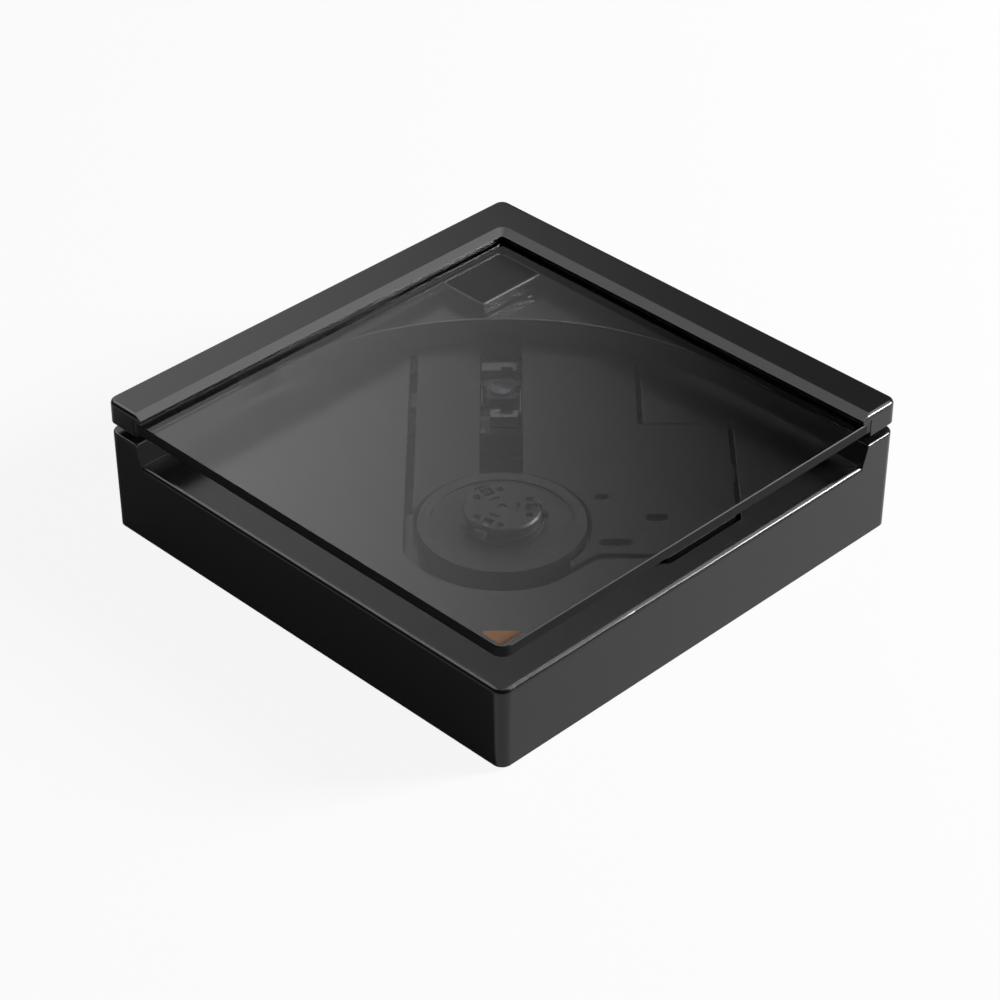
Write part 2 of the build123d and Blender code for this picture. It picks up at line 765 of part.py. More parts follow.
# ---- Lid ----
with BuildPart() as lid_rail:
    with BuildSketch(Plane.XY.offset(lid_bottom)):
        RectangleRounded(case_side, case_side, case_corner)
        with Locations((-rail_inner, rail_inner)):
            Rectangle(case_side, case_side, align=(Align.MIN, Align.MAX), mode=Mode.SUBTRACT)
    extrude(amount=lid_thickness)
    with BuildSketch(Plane.XY.offset(lip_under)):
        RectangleRounded(case_side, case_side, case_corner)
        with Locations((-lip_inner, lip_inner)):
            RectangleRounded(
                case_side,
                case_side,
                lip_corner,
                align=(Align.MIN, Align.MAX),
                mode=Mode.SUBTRACT,
            )
    extrude(amount=lid_top - lip_under)
    outer_edges = lid_rail.edges().filter_by_position(Axis.Z, lid_top - level, lid_top + level)
    outer_edges = [
        edge
        for edge in outer_edges
        if max(-edge.center().X, edge.center().Y) > half - case_corner
        or max(edge.center().X, -edge.center().Y) > half - 1
    ]
    fillet(outer_edges, lid_edge_fillet)
    under_edges = lid_rail.edges().filter_by_position(Axis.Z, lid_bottom - level, lid_bottom + level)
    chamfer(
        [edge for edge in under_edges if max(-edge.center().X, edge.center().Y) > half - rail_width / 2],
        rail_under_chamfer,
    )
    # bevel of the lip
    with BuildSketch(Plane.XY.offset(lid_top)):
        with Locations((-rail_inner, rail_inner)):
            RectangleRounded(case_side, case_side, bevel_corner, align=(Align.MIN, Align.MAX))
    with BuildSketch(Plane.XY.offset(bevel_foot)):
        with Locations((-lip_inner, lip_inner)):
            RectangleRounded(case_side, case_side, lip_corner, align=(Align.MIN, Align.MAX))
    loft(mode=Mode.SUBTRACT)
    # magnet pockets in the rail's underside
    with Locations(
        (-half + rail_width / 2, -half + magnet_from_end, lid_bottom),
    ):
        Box(
            magnet_width + 2 * magnet_clearance,
            magnet_length + 2 * magnet_clearance,
            magnet_height + magnet_clearance,
            align=(Align.CENTER, Align.CENTER, Align.MIN),
            mode=Mode.SUBTRACT,
        )
    with Locations((half - magnet_from_end, half - rail_width / 2, lid_bottom)):
        Box(
            magnet_length + 2 * magnet_clearance,
            magnet_width + 2 * magnet_clearance,
            magnet_height + magnet_clearance,
            align=(Align.CENTER, Align.CENTER, Align.MIN),
            mode=Mode.SUBTRACT,
        )

with BuildPart() as lid_plate:
    with BuildSketch(Plane.XY.offset(plate_bottom)) as plate_sketch:
        with Locations((-plate_edge, plate_edge)):
            Rectangle(
                plate_edge + plate_front,
                plate_edge + plate_front,
                align=(Align.MIN, Align.MAX),
            )
        plate_corners = plate_sketch.vertices().sort_by(lambda corner: corner.X - corner.Y)
        fillet(plate_corners[-1], plate_corner)
        fillet(plate_corners[0], plate_back_corner)
    extrude(amount=plate_thickness)
    edges_up = lid_plate.edges().filter_by_position(Axis.Z, plate_top - level, plate_top + level)
    chamfer(
        [edge for edge in edges_up if max(edge.center().X, -edge.center().Y) > half - plate_corner],
        plate_chamfer,
    )

with BuildPart() as lid_gasket:
    with BuildSketch(Plane.XY.offset(plate_bottom)):
        with Locations((-rail_inner, rail_inner)):
            Rectangle(
                rail_inner + plate_front,
                rail_inner + plate_front,
                align=(Align.MIN, Align.MAX),
            )
        with Locations((-plate_edge, plate_edge)):
            Rectangle(case_side, case_side, align=(Align.MIN, Align.MAX), mode=Mode.SUBTRACT)
    extrude(amount=plate_thickness)
    with BuildSketch(Plane.XY.offset(plate_top)):
        with Locations((-rail_inner, rail_inner)):
            Rectangle(
                rail_inner + plate_front,
                rail_inner + plate_front,
                align=(Align.MIN, Align.MAX),
            )
        with Locations((-lip_inner - gasket_recess, lip_inner + gasket_recess)):
            Rectangle(case_side, case_side, align=(Align.MIN, Align.MAX), mode=Mode.SUBTRACT)
    extrude(amount=lip_air)

with BuildPart() as corner_mark:
    with BuildSketch(Plane.XY.offset(plate_bottom - mark_thickness)) as mark_sketch:
        mark_corner = plate_front - mark_inset
        with BuildLine():
            Polyline(
                (mark_corner, -mark_corner),
                (mark_corner, -mark_corner + mark_leg),
                (mark_corner - mark_leg, -mark_corner),
                close=True,
            )
        make_face()
        fillet(mark_sketch.vertices(), mark_fillet)
    extrude(amount=mark_thickness)

# ---- Lid pivot ----
with BuildPart() as pivot_block:
    with BuildSketch(Plane.XY.offset(block_bottom)):
        with Locations((pivot_x + block_lead, pivot_y - block_lead)):
            RectangleRounded(block_width, block_length, block_corner)
    extrude(amount=block_top - block_bottom)
    chamfer(pivot_block.edges().group_by(Axis.Z)[-1], small_chamfer)
    with Locations((pivot_x, pivot_y, block_bottom)):
        Cylinder(
            pivot_radius,
            block_top - block_bottom - shaft_roof,
            align=(Align.CENTER, Align.CENTER, Align.MIN),
            mode=Mode.SUBTRACT,
        )

with BuildPart() as block_tape:
    with BuildSketch(Plane.XY.offset(block_top)):
        with Locations((pivot_x + block_lead, pivot_y - block_lead)):
            Rectangle(block_width - 2 * tape_inset, block_length - 2 * tape_inset)
    extrude(amount=tape_thickness)

with BuildPart() as pivot_shaft:
    shaft_foot = ring_top - ring_thickness - shaft_tip
    with Locations((pivot_x, pivot_y, shaft_foot)):
        Cylinder(
            pivot_radius,
            block_top - shaft_roof - shaft_foot,
            align=(Align.CENTER, Align.CENTER, Align.MIN),
        )
    chamfer(pivot_shaft.edges().group_by(Axis.Z)[0], small_chamfer)
    with BuildSketch(Plane.XY.offset(ring_top - ring_thickness)):
        with Locations((pivot_x, pivot_y)):
            Circle(pivot_radius + 1)
            Circle(pivot_radius - ring_groove, mode=Mode.SUBTRACT)
    extrude(amount=ring_thickness, mode=Mode.SUBTRACT)

with BuildPart() as retaining_ring:
    with BuildSketch(Plane.XY.offset(ring_top - ring_thickness)):
        with Locations((pivot_x, pivot_y)):
            Circle(pivot_radius + ring_width)
            Circle(pivot_radius - ring_groove, mode=Mode.SUBTRACT)
            Rectangle(
                ring_opening,
                pivot_radius + 2 * ring_width,
                align=(Align.CENTER, Align.MAX),
                mode=Mode.SUBTRACT,
            )
    extrude(amount=ring_thickness)

with BuildPart() as pivot_washer:
    with BuildSketch(Plane.XY.offset(rear_wall_top)):
        with Locations((pivot_x, pivot_y)):
            Circle(washer_radius)
            Circle(pivot_radius + pivot_clearance, mode=Mode.SUBTRACT)
    extrude(amount=washer_thickness)

with BuildPart() as pivot_bush:
    with BuildSketch(Plane.XY.offset(bush_bottom)):
        with Locations((pivot_x, pivot_y)):
            Circle(bush_radius)
            Circle(pivot_radius + pivot_clearance, mode=Mode.SUBTRACT)
    extrude(amount=bush_length)

with BuildPart() as lid_magnets:
    with BuildSketch(Plane.XY.offset(lid_bottom)):
        with Locations((-half + rail_width / 2, -half + magnet_from_end)):
            Rectangle(magnet_width, magnet_length)
        with Locations((half - magnet_from_end, half - rail_width / 2)):
            Rectangle(magnet_length, magnet_width)
    extrude(amount=magnet_height)

with BuildPart() as case_magnets:
    with BuildSketch(Plane.XY.offset(rear_cavity_top - magnet_height)):
        with Locations((-inner_half + magnet_width / 2 + magnet_air, -half + magnet_from_end)):
            Rectangle(magnet_width, magnet_length)
        with Locations((half - magnet_from_end, inner_half - magnet_width / 2 - magnet_air)):
            Rectangle(magnet_length, magnet_width)
    extrude(amount=magnet_height)

# ---- Mechanism chassis ----
with BuildPart() as chassis:
    left_edge = -opening_left + chassis_left_gap
    with BuildSketch(mech_plane.offset(chassis_floor)) as chassis_outline:
        add(opening_outline())
        make_face()
        offset(amount=-chassis_gap, kind=Kind.INTERSECTION, mode=Mode.REPLACE)
        with Locations((-opening_left, 0)):
            Rectangle(
                chassis_left_gap,
                4 * well_radius,
                align=(Align.MIN, Align.CENTER),
                mode=Mode.SUBTRACT,
            )
        # cut away in front of the turntable
        with Locations((cutaway_right, cutaway_front)):
            Rectangle(
                cutaway_right + opening_left,
                opening_left,
                align=(Align.MAX, Align.MAX),
                mode=Mode.SUBTRACT,
            )
        with Locations((0, cutaway_left_front)):
            Rectangle(opening_left, 2 * opening_left, align=(Align.MAX, Align.MAX), mode=Mode.SUBTRACT)
    extrude(amount=chassis_top - chassis_floor)
    with BuildSketch(mech_plane.offset(chassis_floor)):
        add(chassis_outline.sketch_local)
        offset(amount=-chassis_wall, kind=Kind.INTERSECTION, mode=Mode.REPLACE)
    extrude(amount=chassis_under - chassis_floor, mode=Mode.SUBTRACT)
    with BuildSketch(mech_plane.offset(chassis_floor)):
        Circle(turntable_opening)
    extrude(amount=chassis_top - chassis_floor, mode=Mode.SUBTRACT)
    # tail under the raised wall, which carries the far ends of the rods
    with BuildSketch(mech_plane.offset(tail_floor)):
        with Locations((left_edge, tail_start), (tail_arm_u, tail_start)):
            Rectangle(chassis_wall, tail_end - tail_start, align=(Align.MIN, Align.MIN))
        with Locations((left_edge, tail_end - tail_beam)):
            Rectangle(
                tail_arm_u + chassis_wall - left_edge,
                tail_beam,
                align=(Align.MIN, Align.MIN),
            )
    extrude(amount=tail_top - tail_floor)
    with BuildSketch(mech_plane.offset(tail_top - overlap)):
        with Locations((tail_arm_u, tail_start)):
            Rectangle(chassis_wall, tail_riser_end - tail_start, align=(Align.MIN, Align.MIN))
    extrude(amount=chassis_under + 2 * overlap - tail_top)
    # blocks that hold the near ends of the rods
    with BuildSketch(mech_plane.offset(tail_floor)):
        with Locations((main_rod_u, rod_front)):
            Rectangle(2 * sleeve_wall + 2 * main_rod_radius, rod_block, align=(Align.CENTER, Align.MIN))
        with Locations((side_rod_u, rod_front)):
            Rectangle(2 * sleeve_wall + 2 * side_rod_radius, rod_block, align=(Align.CENTER, Align.MIN))
    extrude(amount=chassis_under + overlap - tail_floor)
    # way for the sled, slot for the lens
    with BuildSketch(mech_plane.offset(chassis_floor - 1)):
        with Locations((left_edge + chassis_wall, tail_start)):
            Rectangle(
                tail_arm_u - left_edge - chassis_wall,
                tail_end - tail_beam - tail_start,
                align=(Align.MIN, Align.MIN),
            )
    extrude(amount=chassis_under - chassis_floor + 1, mode=Mode.SUBTRACT)
    with BuildSketch(mech_plane.offset(chassis_under - 2 * overlap)):
        with Locations((lens_u, 0)):
            Rectangle(slot_width, slot_end, align=(Align.CENTER, Align.MIN))
    extrude(amount=chassis_plate + 4 * overlap, mode=Mode.SUBTRACT)
    # openings of the plate beside the turntable
    with BuildSketch(mech_plane.offset(chassis_under - 2 * overlap)):
        with Locations(window_place):
            Rectangle(*window_size)
        with Locations(short_slot_place):
            SlotOverall(*short_slot_size)
        with Locations(long_slot_place):
            SlotOverall(*long_slot_size)
    extrude(amount=chassis_plate + 4 * overlap, mode=Mode.SUBTRACT)
    # platform for the spindle motor
    with BuildSketch(mech_plane.offset(platform_under)):
        Circle(platform_radius)
        with Locations((0, platform_back)):
            Rectangle(
                2 * platform_radius,
                2 * platform_radius,
                align=(Align.CENTER, Align.MIN),
                mode=Mode.SUBTRACT,
            )
    extrude(amount=platform_thickness)
    # gear pin boss and socket of the feed motor under the plate
    with BuildSketch(mech_plane.offset(gear_boss_bottom)):
        with Locations((gear_u, gear_v)):
            Circle(gear_boss_radius)
    extrude(amount=chassis_under + overlap - gear_boss_bottom)
    with BuildSketch(mech_plane.offset(chassis_under - feed_socket_depth)):
        with Locations((feed_u, feed_v)):
            Circle(feed_motor_radius + feed_socket_clearance + feed_socket_wall)
            Circle(feed_motor_radius + feed_socket_clearance, mode=Mode.SUBTRACT)
    extrude(amount=feed_socket_depth + overlap)
    # ears for the dampers
    with BuildSketch(mech_plane.offset(chassis_floor)):
        with Locations(*ear_positions):
            Circle(ear_radius)
        for ear, root in zip(ear_positions, ear_roots):
            with Locations(((ear[0] + root[0]) / 2, (ear[1] + root[1]) / 2)):
                Rectangle(
                    hypot(root[0] - ear[0], root[1] - ear[1]),
                    ear_arm,
                    rotation=degrees(atan2(root[1] - ear[1], root[0] - ear[0])),
                )
    extrude(amount=chassis_plate)
    with BuildSketch(mech_plane.offset(chassis_floor)):
        with Locations(*ear_positions):
            Circle(damper_waist_radius + damper_clearance)
    extrude(amount=chassis_plate, mode=Mode.SUBTRACT)
    # bore of the platform, holes of the motor screws
    with BuildSketch(mech_plane.offset(platform_under)):
        Circle(motor_nose_radius + motor_nose_clearance)
        with PolarLocations(motor_screw_circle, motor_screw_count, start_angle=motor_screw_turn):
            Circle(motor_screw_radius + motor_screw_clearance)
    extrude(amount=platform_thickness, mode=Mode.SUBTRACT)
    # seats of the gear pin and of the rods
    with BuildSketch(mech_plane.offset(gear_boss_bottom)):
        with Locations((gear_u, gear_v)):
            Circle(gear_pin_radius)
    extrude(amount=gear_pin_seat, mode=Mode.SUBTRACT)
    with BuildSketch(rod_plane):
        with Locations((main_rod_u, rod_height)):
            Circle(main_rod_radius)
        with Locations((side_rod_u, rod_height)):
            Circle(side_rod_radius)
    extrude(amount=rod_front + rod_end - tail_end, mode=Mode.SUBTRACT)

with BuildPart() as dampers:
    with BuildSketch(mech_plane.offset(damper_bottom)):
        with Locations(*ear_positions):
            Circle(damper_flange_radius)
            Circle(shoulder_radius + damper_clearance, mode=Mode.SUBTRACT)
    extrude(amount=damper_flange)
    with BuildSketch(mech_plane.offset(chassis_floor)):
        with Locations(*ear_positions):
            Circle(damper_waist_radius)
            Circle(shoulder_radius + damper_clearance, mode=Mode.SUBTRACT)
    extrude(amount=chassis_plate)
    with BuildSketch(mech_plane.offset(ear_top)):
        with Locations(*ear_positions):
            Circle(damper_flange_radius)
            Circle(shoulder_radius + damper_clearance, mode=Mode.SUBTRACT)
    extrude(amount=damper_flange)

with BuildPart() as shoulder_screws:
    with BuildSketch(mech_plane.offset(damper_bottom - shoulder_head)):
        with Locations(*ear_positions):
            Circle(shoulder_head_radius)
    extrude(amount=shoulder_head)
    with BuildSketch(mech_plane.offset(damper_bottom)):
        with Locations(*ear_positions):
            Circle(shoulder_radius)
    extrude(amount=damper_top - damper_bottom)
    with BuildSketch(mech_plane.offset(damper_top)):
        with Locations(*ear_positions):
            Circle(shoulder_thread_radius)
    extrude(amount=shoulder_thread)
    with BuildSketch(mech_plane.offset(damper_bottom - shoulder_head)):
        with Locations(*ear_positions):
            Rectangle(recess_length, recess_width)
            Rectangle(recess_width, recess_length)
    extrude(amount=recess_depth, mode=Mode.SUBTRACT)

# ---- Turntable and hub ----
with BuildPart() as turntable:
    with BuildSketch(mech_plane.offset(turntable_bottom)):
        Circle(turntable_radius)
    extrude(amount=turntable_skirt)
    with BuildSketch(mech_plane.offset(turntable_bottom)):
        Circle(turntable_radius - turntable_skirt_wall)
    extrude(amount=turntable_skirt - turntable_web, mode=Mode.SUBTRACT)
    with BuildSketch(mech_plane.offset(core_bottom)):
        Circle(hub_core_radius)
    extrude(amount=hub_top - core_bottom)
    with BuildSketch(mech_plane.offset(turntable_top)):
        Circle(hub_radius)
    extrude(amount=disc_seat + hub_collar - turntable_top)
    with BuildSketch(mech_plane.offset(disc_seat + hub_collar)):
        Circle(hub_radius - hub_step)
    extrude(amount=hub_top - disc_seat - hub_collar)
    chamfer(turntable.edges().group_by(Axis.Z)[-1], hub_edge)
    with BuildSketch(mech_plane.offset(claw_floor)):
        Circle(hub_radius - hub_wall)
        Circle(hub_core_radius, mode=Mode.SUBTRACT)
    extrude(amount=hub_top - hub_roof - claw_floor, mode=Mode.SUBTRACT)
    # ways of the claws through the hub's wall, windows in its roof
    with BuildSketch(mech_plane.offset(claw_floor)):
        with PolarLocations(hub_radius - hub_wall / 2, claw_count):
            Rectangle(2 * hub_wall, claw_width + 2 * claw_clearance)
    extrude(amount=claw_height + 2 * claw_clearance, mode=Mode.SUBTRACT)
    with BuildSketch(mech_plane.offset(claw_floor)):
        with PolarLocations(0, claw_count):
            with Locations((claw_way_open, 0)):
                Rectangle(hub_wall, claw_width + 2 * claw_clearance, align=(Align.MIN, Align.CENTER))
    extrude(amount=hub_top - claw_floor, mode=Mode.SUBTRACT)
    with BuildSketch(mech_plane.offset(hub_top - hub_roof)):
        with PolarLocations(0, claw_count):
            with Locations((roof_window_inner, 0)):
                Rectangle(roof_window_length, roof_window_width, align=(Align.MIN, Align.CENTER))
            with Locations((roof_hole_radius, roof_hole_side), (roof_hole_radius, -roof_hole_side)):
                Rectangle(roof_hole_size, roof_hole_size)
            with Locations((roof_slit_radius, 0)):
                Rectangle(roof_slit_width, roof_slit_length)
    extrude(amount=hub_roof, mode=Mode.SUBTRACT)
    with BuildSketch(mech_plane.offset(core_bottom)):
        Circle(shaft_radius)
    extrude(amount=hub_top - core_bottom, mode=Mode.SUBTRACT)

with BuildPart() as turntable_pad:
    with BuildSketch(mech_plane.offset(turntable_top)):
        Circle(turntable_radius)
        Circle(turntable_pad_inner, mode=Mode.SUBTRACT)
    extrude(amount=turntable_pad_thickness)

with BuildPart() as rotor_shaft:
    with BuildSketch(mech_plane.offset(motor_bottom + shaft_end_cap)):
        Circle(shaft_radius)
    extrude(amount=hub_top - shaft_recess - motor_bottom - shaft_end_cap)
    chamfer(rotor_shaft.edges().group_by(Axis.Z)[-1], small_chamfer)

claws = []
for claw_number in range(claw_count):
    claw_plane = Plane(
        origin=(spindle_offset, -spindle_offset, 0),
        x_dir=mech_plane.x_dir.rotate(Axis.Z, 360 / claw_count * claw_number),
        z_dir=(0, 0, 1),
    )
    with BuildPart() as claw:
        with BuildSketch(claw_plane.offset(claw_floor + claw_clearance)):
            with Locations((claw_tail, 0)):
                Rectangle(
                    hub_radius + claw_reach - claw_tail,
                    claw_width,
                    align=(Align.MIN, Align.CENTER),
                )
        extrude(amount=claw_height)
        with BuildSketch(claw_plane.offset(claw_floor + claw_clearance)):
            with Locations((claw_way_open + claw_travel + claw_clearance, 0)):
                Rectangle(
                    hub_radius + claw_reach - claw_way_open - claw_travel - claw_clearance,
                    claw_width,
                    align=(Align.MIN, Align.CENTER),
                )
        extrude(amount=hub_top - nose_sink - claw_floor - claw_clearance)
        nose = claw.faces().sort_by(Axis((spindle_offset, -spindle_offset, 0), claw_plane.x_dir))[-1]
        nose_rims = nose.edges().filter_by(Axis.Z, reverse=True).sort_by(Axis.Z)
        chamfer(nose_rims[-1], nose_top_slope)
        chamfer(nose_rims[0], nose_under_slope)
        with BuildSketch(claw_plane.offset(claw_floor + claw_clearance + claw_height)):
            with Locations((roof_window_inner + claw_travel + claw_clearance, 0)):
                Rectangle(
                    roof_window_length - claw_travel - 2 * claw_clearance,
                    claw_stub_width,
                    align=(Align.MIN, Align.CENTER),
                )
        extrude(amount=hub_roof - 2 * claw_clearance)
    claws.append(claw)

with BuildPart() as claw_springs:
    with BuildSketch(mech_plane.offset(claw_spring_bottom)):
        with PolarLocations(hub_core_radius, claw_count):
            Rectangle(claw_tail - hub_core_radius, claw_spring_size, align=(Align.MIN, Align.CENTER))
    extrude(amount=claw_spring_size)

with BuildPart() as spindle_motor:
    with BuildSketch(mech_plane.offset(motor_bottom)):
        Circle(motor_radius)
    extrude(amount=motor_height)
    chamfer(spindle_motor.edges().group_by(Axis.Z)[0], motor_edge)
    with BuildSketch(mech_plane.offset(platform_under)):
        Circle(motor_nose_radius)
    extrude(amount=platform_thickness + motor_nose_rise)
    with BuildSketch(mech_plane.offset(motor_bottom + motor_end_wall)):
        Circle(shaft_radius + shaft_clearance)
    extrude(amount=motor_height + platform_thickness + motor_nose_rise, mode=Mode.SUBTRACT)
    with BuildSketch(mech_plane.offset(platform_under - motor_screw_bite)):
        with PolarLocations(motor_screw_circle, motor_screw_count, start_angle=motor_screw_turn):
            Circle(motor_screw_radius)
    extrude(amount=motor_screw_bite, mode=Mode.SUBTRACT)

with BuildPart() as motor_screws:
    with BuildSketch(mech_plane.offset(platform_height)):
        with PolarLocations(motor_screw_circle, motor_screw_count, start_angle=motor_screw_turn):
            Circle(motor_screw_head_radius)
    extrude(amount=motor_screw_head)
    with BuildSketch(mech_plane.offset(platform_under - motor_screw_bite)):
        with PolarLocations(motor_screw_circle, motor_screw_count, start_angle=motor_screw_turn):
            Circle(motor_screw_radius)
    extrude(amount=platform_thickness + motor_screw_bite)

# ---- Rods ----
with BuildPart() as main_rod:
    with BuildSketch(rod_plane):
        with Locations((main_rod_u, rod_height)):
            Circle(main_rod_radius)
    extrude(amount=rod_front + rod_end - tail_end)

with BuildPart() as side_rod:
    with BuildSketch(rod_plane):
        with Locations((side_rod_u, rod_height)):
            Circle(side_rod_radius)
    extrude(amount=rod_front + rod_end - tail_end)

# ---- Pickup ----
with BuildPart() as sled:
    with BuildSketch(mech_plane.offset(sled_bottom)):
        with Locations((0, lens_v - sled_front)):
            Rectangle(2 * sled_half_width, sled_front + sled_back, align=(Align.CENTER, Align.MIN))
    extrude(amount=sled_top - sled_bottom)
    # sleeve of the main rod and fork of the side rod
    with BuildSketch(mech_plane.offset(wing_bottom)):
        with Locations((main_rod_u - main_rod_radius - sleeve_wall, lens_v - wing_front)):
            Rectangle(
                main_rod_radius + sleeve_wall - main_rod_u - sled_half_width + 1,
                wing_front + sled_back,
                align=(Align.MIN, Align.MIN),
            )
    extrude(amount=sled_top - wing_bottom)
    with BuildSketch(mech_plane.offset(rack_top - rack_arm_thickness)):
        with Locations((sled_half_width - 1, lens_v - rack_arm_front)):
            Rectangle(
                rack_root - rack_body - sled_half_width + 1,
                rack_arm_front + sled_back - 1,
                align=(Align.MIN, Align.MIN),
            )
    extrude(amount=rack_arm_thickness)
    with BuildSketch(mech_plane.offset(rod_height + side_rod_radius + rod_clearance)):
        with Locations((sled_half_width - 1, lens_v - fork_length / 2)):
            Rectangle(
                side_rod_u + side_rod_radius - sled_half_width + 1,
                fork_length,
                align=(Align.MIN, Align.MIN),
            )
    extrude(amount=sled_top - rod_height - side_rod_radius - rod_clearance)
    with BuildSketch(rod_plane):
        with Locations((main_rod_u, rod_height)):
            Circle(main_rod_radius + rod_clearance)
    extrude(amount=rod_front - tail_end, mode=Mode.SUBTRACT)
    with BuildSketch(mech_plane.offset(sled_bottom + 1)):
        with Locations((lens_u, lens_v)):
            Circle(optic_radius)
    extrude(amount=sled_top - sled_bottom - 1, mode=Mode.SUBTRACT)

with BuildPart() as actuator_base:
    with BuildSketch(mech_plane.offset(sled_top)):
        with Locations((lens_u - base_left, lens_v - base_front)):
            Rectangle(base_left + base_right, base_front + base_back, align=(Align.MIN, Align.MIN))
        with Locations((lens_u - base_left + base_rim, lens_v)):
            Rectangle(
                base_left + base_right - 2 * base_rim,
                2 * base_window,
                align=(Align.MIN, Align.CENTER),
                mode=Mode.SUBTRACT,
            )
        # corner left free for the pads of the ribbon
        with Locations((lens_u - base_left, lens_v - base_front)):
            Rectangle(
                pad_patch_width + pad_patch_air,
                pad_patch_length + pad_patch_air,
                align=(Align.MIN, Align.MIN),
                mode=Mode.SUBTRACT,
            )
    extrude(amount=base_thickness)
    with BuildSketch(mech_plane.offset(sled_top)):
        with Locations((lens_u - base_left, lens_v - left_post_front)):
            Rectangle(post_width, post_length, align=(Align.MIN, Align.MIN))
        with Locations((lens_u + base_right - post_width, lens_v - post_front)):
            Rectangle(post_width, post_length, align=(Align.MIN, Align.MIN))
    extrude(amount=post_top - sled_top)

with BuildPart() as rear_yoke:
    with BuildSketch(mech_plane.offset(sled_top + base_thickness)):
        with Locations((lens_u - rear_yoke_left, lens_v + base_back)):
            Rectangle(
                rear_yoke_left + rear_yoke_right,
                rear_yoke_thickness,
                align=(Align.MIN, Align.MAX),
            )
        with Locations((lens_u - rear_yoke_left, lens_v + rear_yoke_front)):
            Rectangle(
                rear_yoke_left + rear_yoke_gap_left,
                base_back - rear_yoke_front,
                align=(Align.MIN, Align.MIN),
            )
        with Locations((lens_u + rear_yoke_gap_right, lens_v + rear_yoke_front)):
            Rectangle(
                rear_yoke_right - rear_yoke_gap_right,
                base_back - rear_yoke_front,
                align=(Align.MIN, Align.MIN),
            )
    extrude(amount=yoke_top - sled_top - base_thickness)

with BuildPart() as front_yoke:
    with BuildSketch(mech_plane.offset(sled_top + base_thickness)):
        with Locations((lens_u - front_yoke_left, lens_v - base_front)):
            Rectangle(
                front_yoke_left + front_yoke_right,
                front_yoke_thickness,
                align=(Align.MIN, Align.MIN),
            )
            Rectangle(
                front_yoke_block,
                base_front - front_yoke_back,
                align=(Align.MIN, Align.MIN),
            )
        with Locations((lens_u + front_yoke_right, lens_v - base_front)):
            Rectangle(
                front_yoke_right - front_yoke_tab,
                base_front - front_yoke_back - front_yoke_air,
                align=(Align.MAX, Align.MIN),
            )
    extrude(amount=yoke_top - sled_top - base_thickness)

with BuildPart() as ribbon_pads:
    with BuildSketch(mech_plane.offset(sled_top)):
        with Locations((lens_u - base_left, lens_v - pad_patch_front)):
            Rectangle(pad_patch_width, pad_patch_length, align=(Align.MIN, Align.MIN))
        with Locations((lens_u - base_left, lens_v - pad_patch_front)):
            Rectangle(pad_patch_width / 2, pad_patch_width, align=(Align.MIN, Align.MAX))
    extrude(amount=pad_patch_thickness)

with BuildPart() as suspension_wires:
    with BuildSketch(rod_plane.offset(rod_front - lens_v - arm_offset)):
        with Locations((lens_u - wire_spread, wire_low), (lens_u - wire_spread, wire_high)):
            Circle(wire_radius)
    extrude(amount=arm_offset + left_post_front - post_length)
    with BuildSketch(rod_plane.offset(rod_front - lens_v - arm_offset)):
        with Locations((lens_u + wire_spread, wire_low), (lens_u + wire_spread, wire_high)):
            Circle(wire_radius)
    extrude(amount=arm_offset + post_front - post_length)

with BuildPart() as lens_holder:
    with BuildSketch(mech_plane.offset(carrier_bottom)):
        with Locations((lens_u, lens_v)):
            RectangleRounded(carrier_width, carrier_length, carrier_corner)
            with Locations((0, arm_offset + arm_length / 2)):
                Rectangle(arm_span, arm_length)
    extrude(amount=carrier_top - carrier_bottom)
    with BuildSketch(mech_plane.offset(carrier_top)):
        with Locations((lens_u, lens_v)):
            Circle(lens_radius + lens_ring)
    extrude(amount=lens_ring)
    with BuildSketch(mech_plane.offset(carrier_bottom)):
        with Locations((lens_u, lens_v)):
            Circle(lens_radius - lens_ring)
    extrude(amount=carrier_top + lens_ring - carrier_bottom, mode=Mode.SUBTRACT)
    with BuildSketch(mech_plane.offset(carrier_top + lens_ring - lens_thickness)):
        with Locations((lens_u, lens_v)):
            Circle(lens_radius)
    extrude(amount=lens_thickness, mode=Mode.SUBTRACT)

with BuildPart() as lens:
    with BuildSketch(mech_plane.offset(carrier_top + lens_ring - lens_thickness)):
        with Locations((lens_u, lens_v)):
            Circle(lens_radius)
    extrude(amount=lens_thickness)
    crown_radius = (lens_radius**2 + lens_crown**2) / (2 * lens_crown)
    crown_centre = mech_plane.from_local_coords(
        (lens_u, lens_v, carrier_top + lens_ring + lens_crown - crown_radius)
    )
    with BuildSketch(mech_plane.offset(carrier_top + lens_ring)):
        with Locations((lens_u, lens_v)):
            Circle(lens_radius)
    extrude(amount=2 * lens_crown)
    with Locations(crown_centre):
        Sphere(crown_radius, mode=Mode.INTERSECT)

# ---- Feed ----
with BuildPart() as rack:
    rack_teeth = ceil((rack_front + rack_back) / rack_pitch)
    with BuildSketch(mech_plane.offset(rack_bottom)):
        with Locations((rack_root - rack_body, lens_v - rack_front)):
            Rectangle(rack_body, rack_front + rack_back, align=(Align.MIN, Align.MIN))
        first_tooth = gear_v + rack_pitch * (ceil((lens_v - rack_front - gear_v) / rack_pitch) + 0.5)
        tooth_root = (rack_pitch - tooth_backlash) / 4 + 1.25 * rack_module * tan(radians(pressure_angle))
        tooth_tip = (rack_pitch - tooth_backlash) / 4
        tooth_tip -= tooth_addendum * rack_module * tan(radians(pressure_angle))
        with Locations(*[(0, first_tooth + rack_pitch * tooth) for tooth in range(rack_teeth - 1)]):
            Polygon(
                (rack_root - level, -tooth_root),
                (rack_u + tooth_addendum * rack_module, -tooth_tip),
                (rack_u + tooth_addendum * rack_module, tooth_tip),
                (rack_root - level, tooth_root),
                align=None,
            )
    extrude(amount=rack_top - rack_bottom)

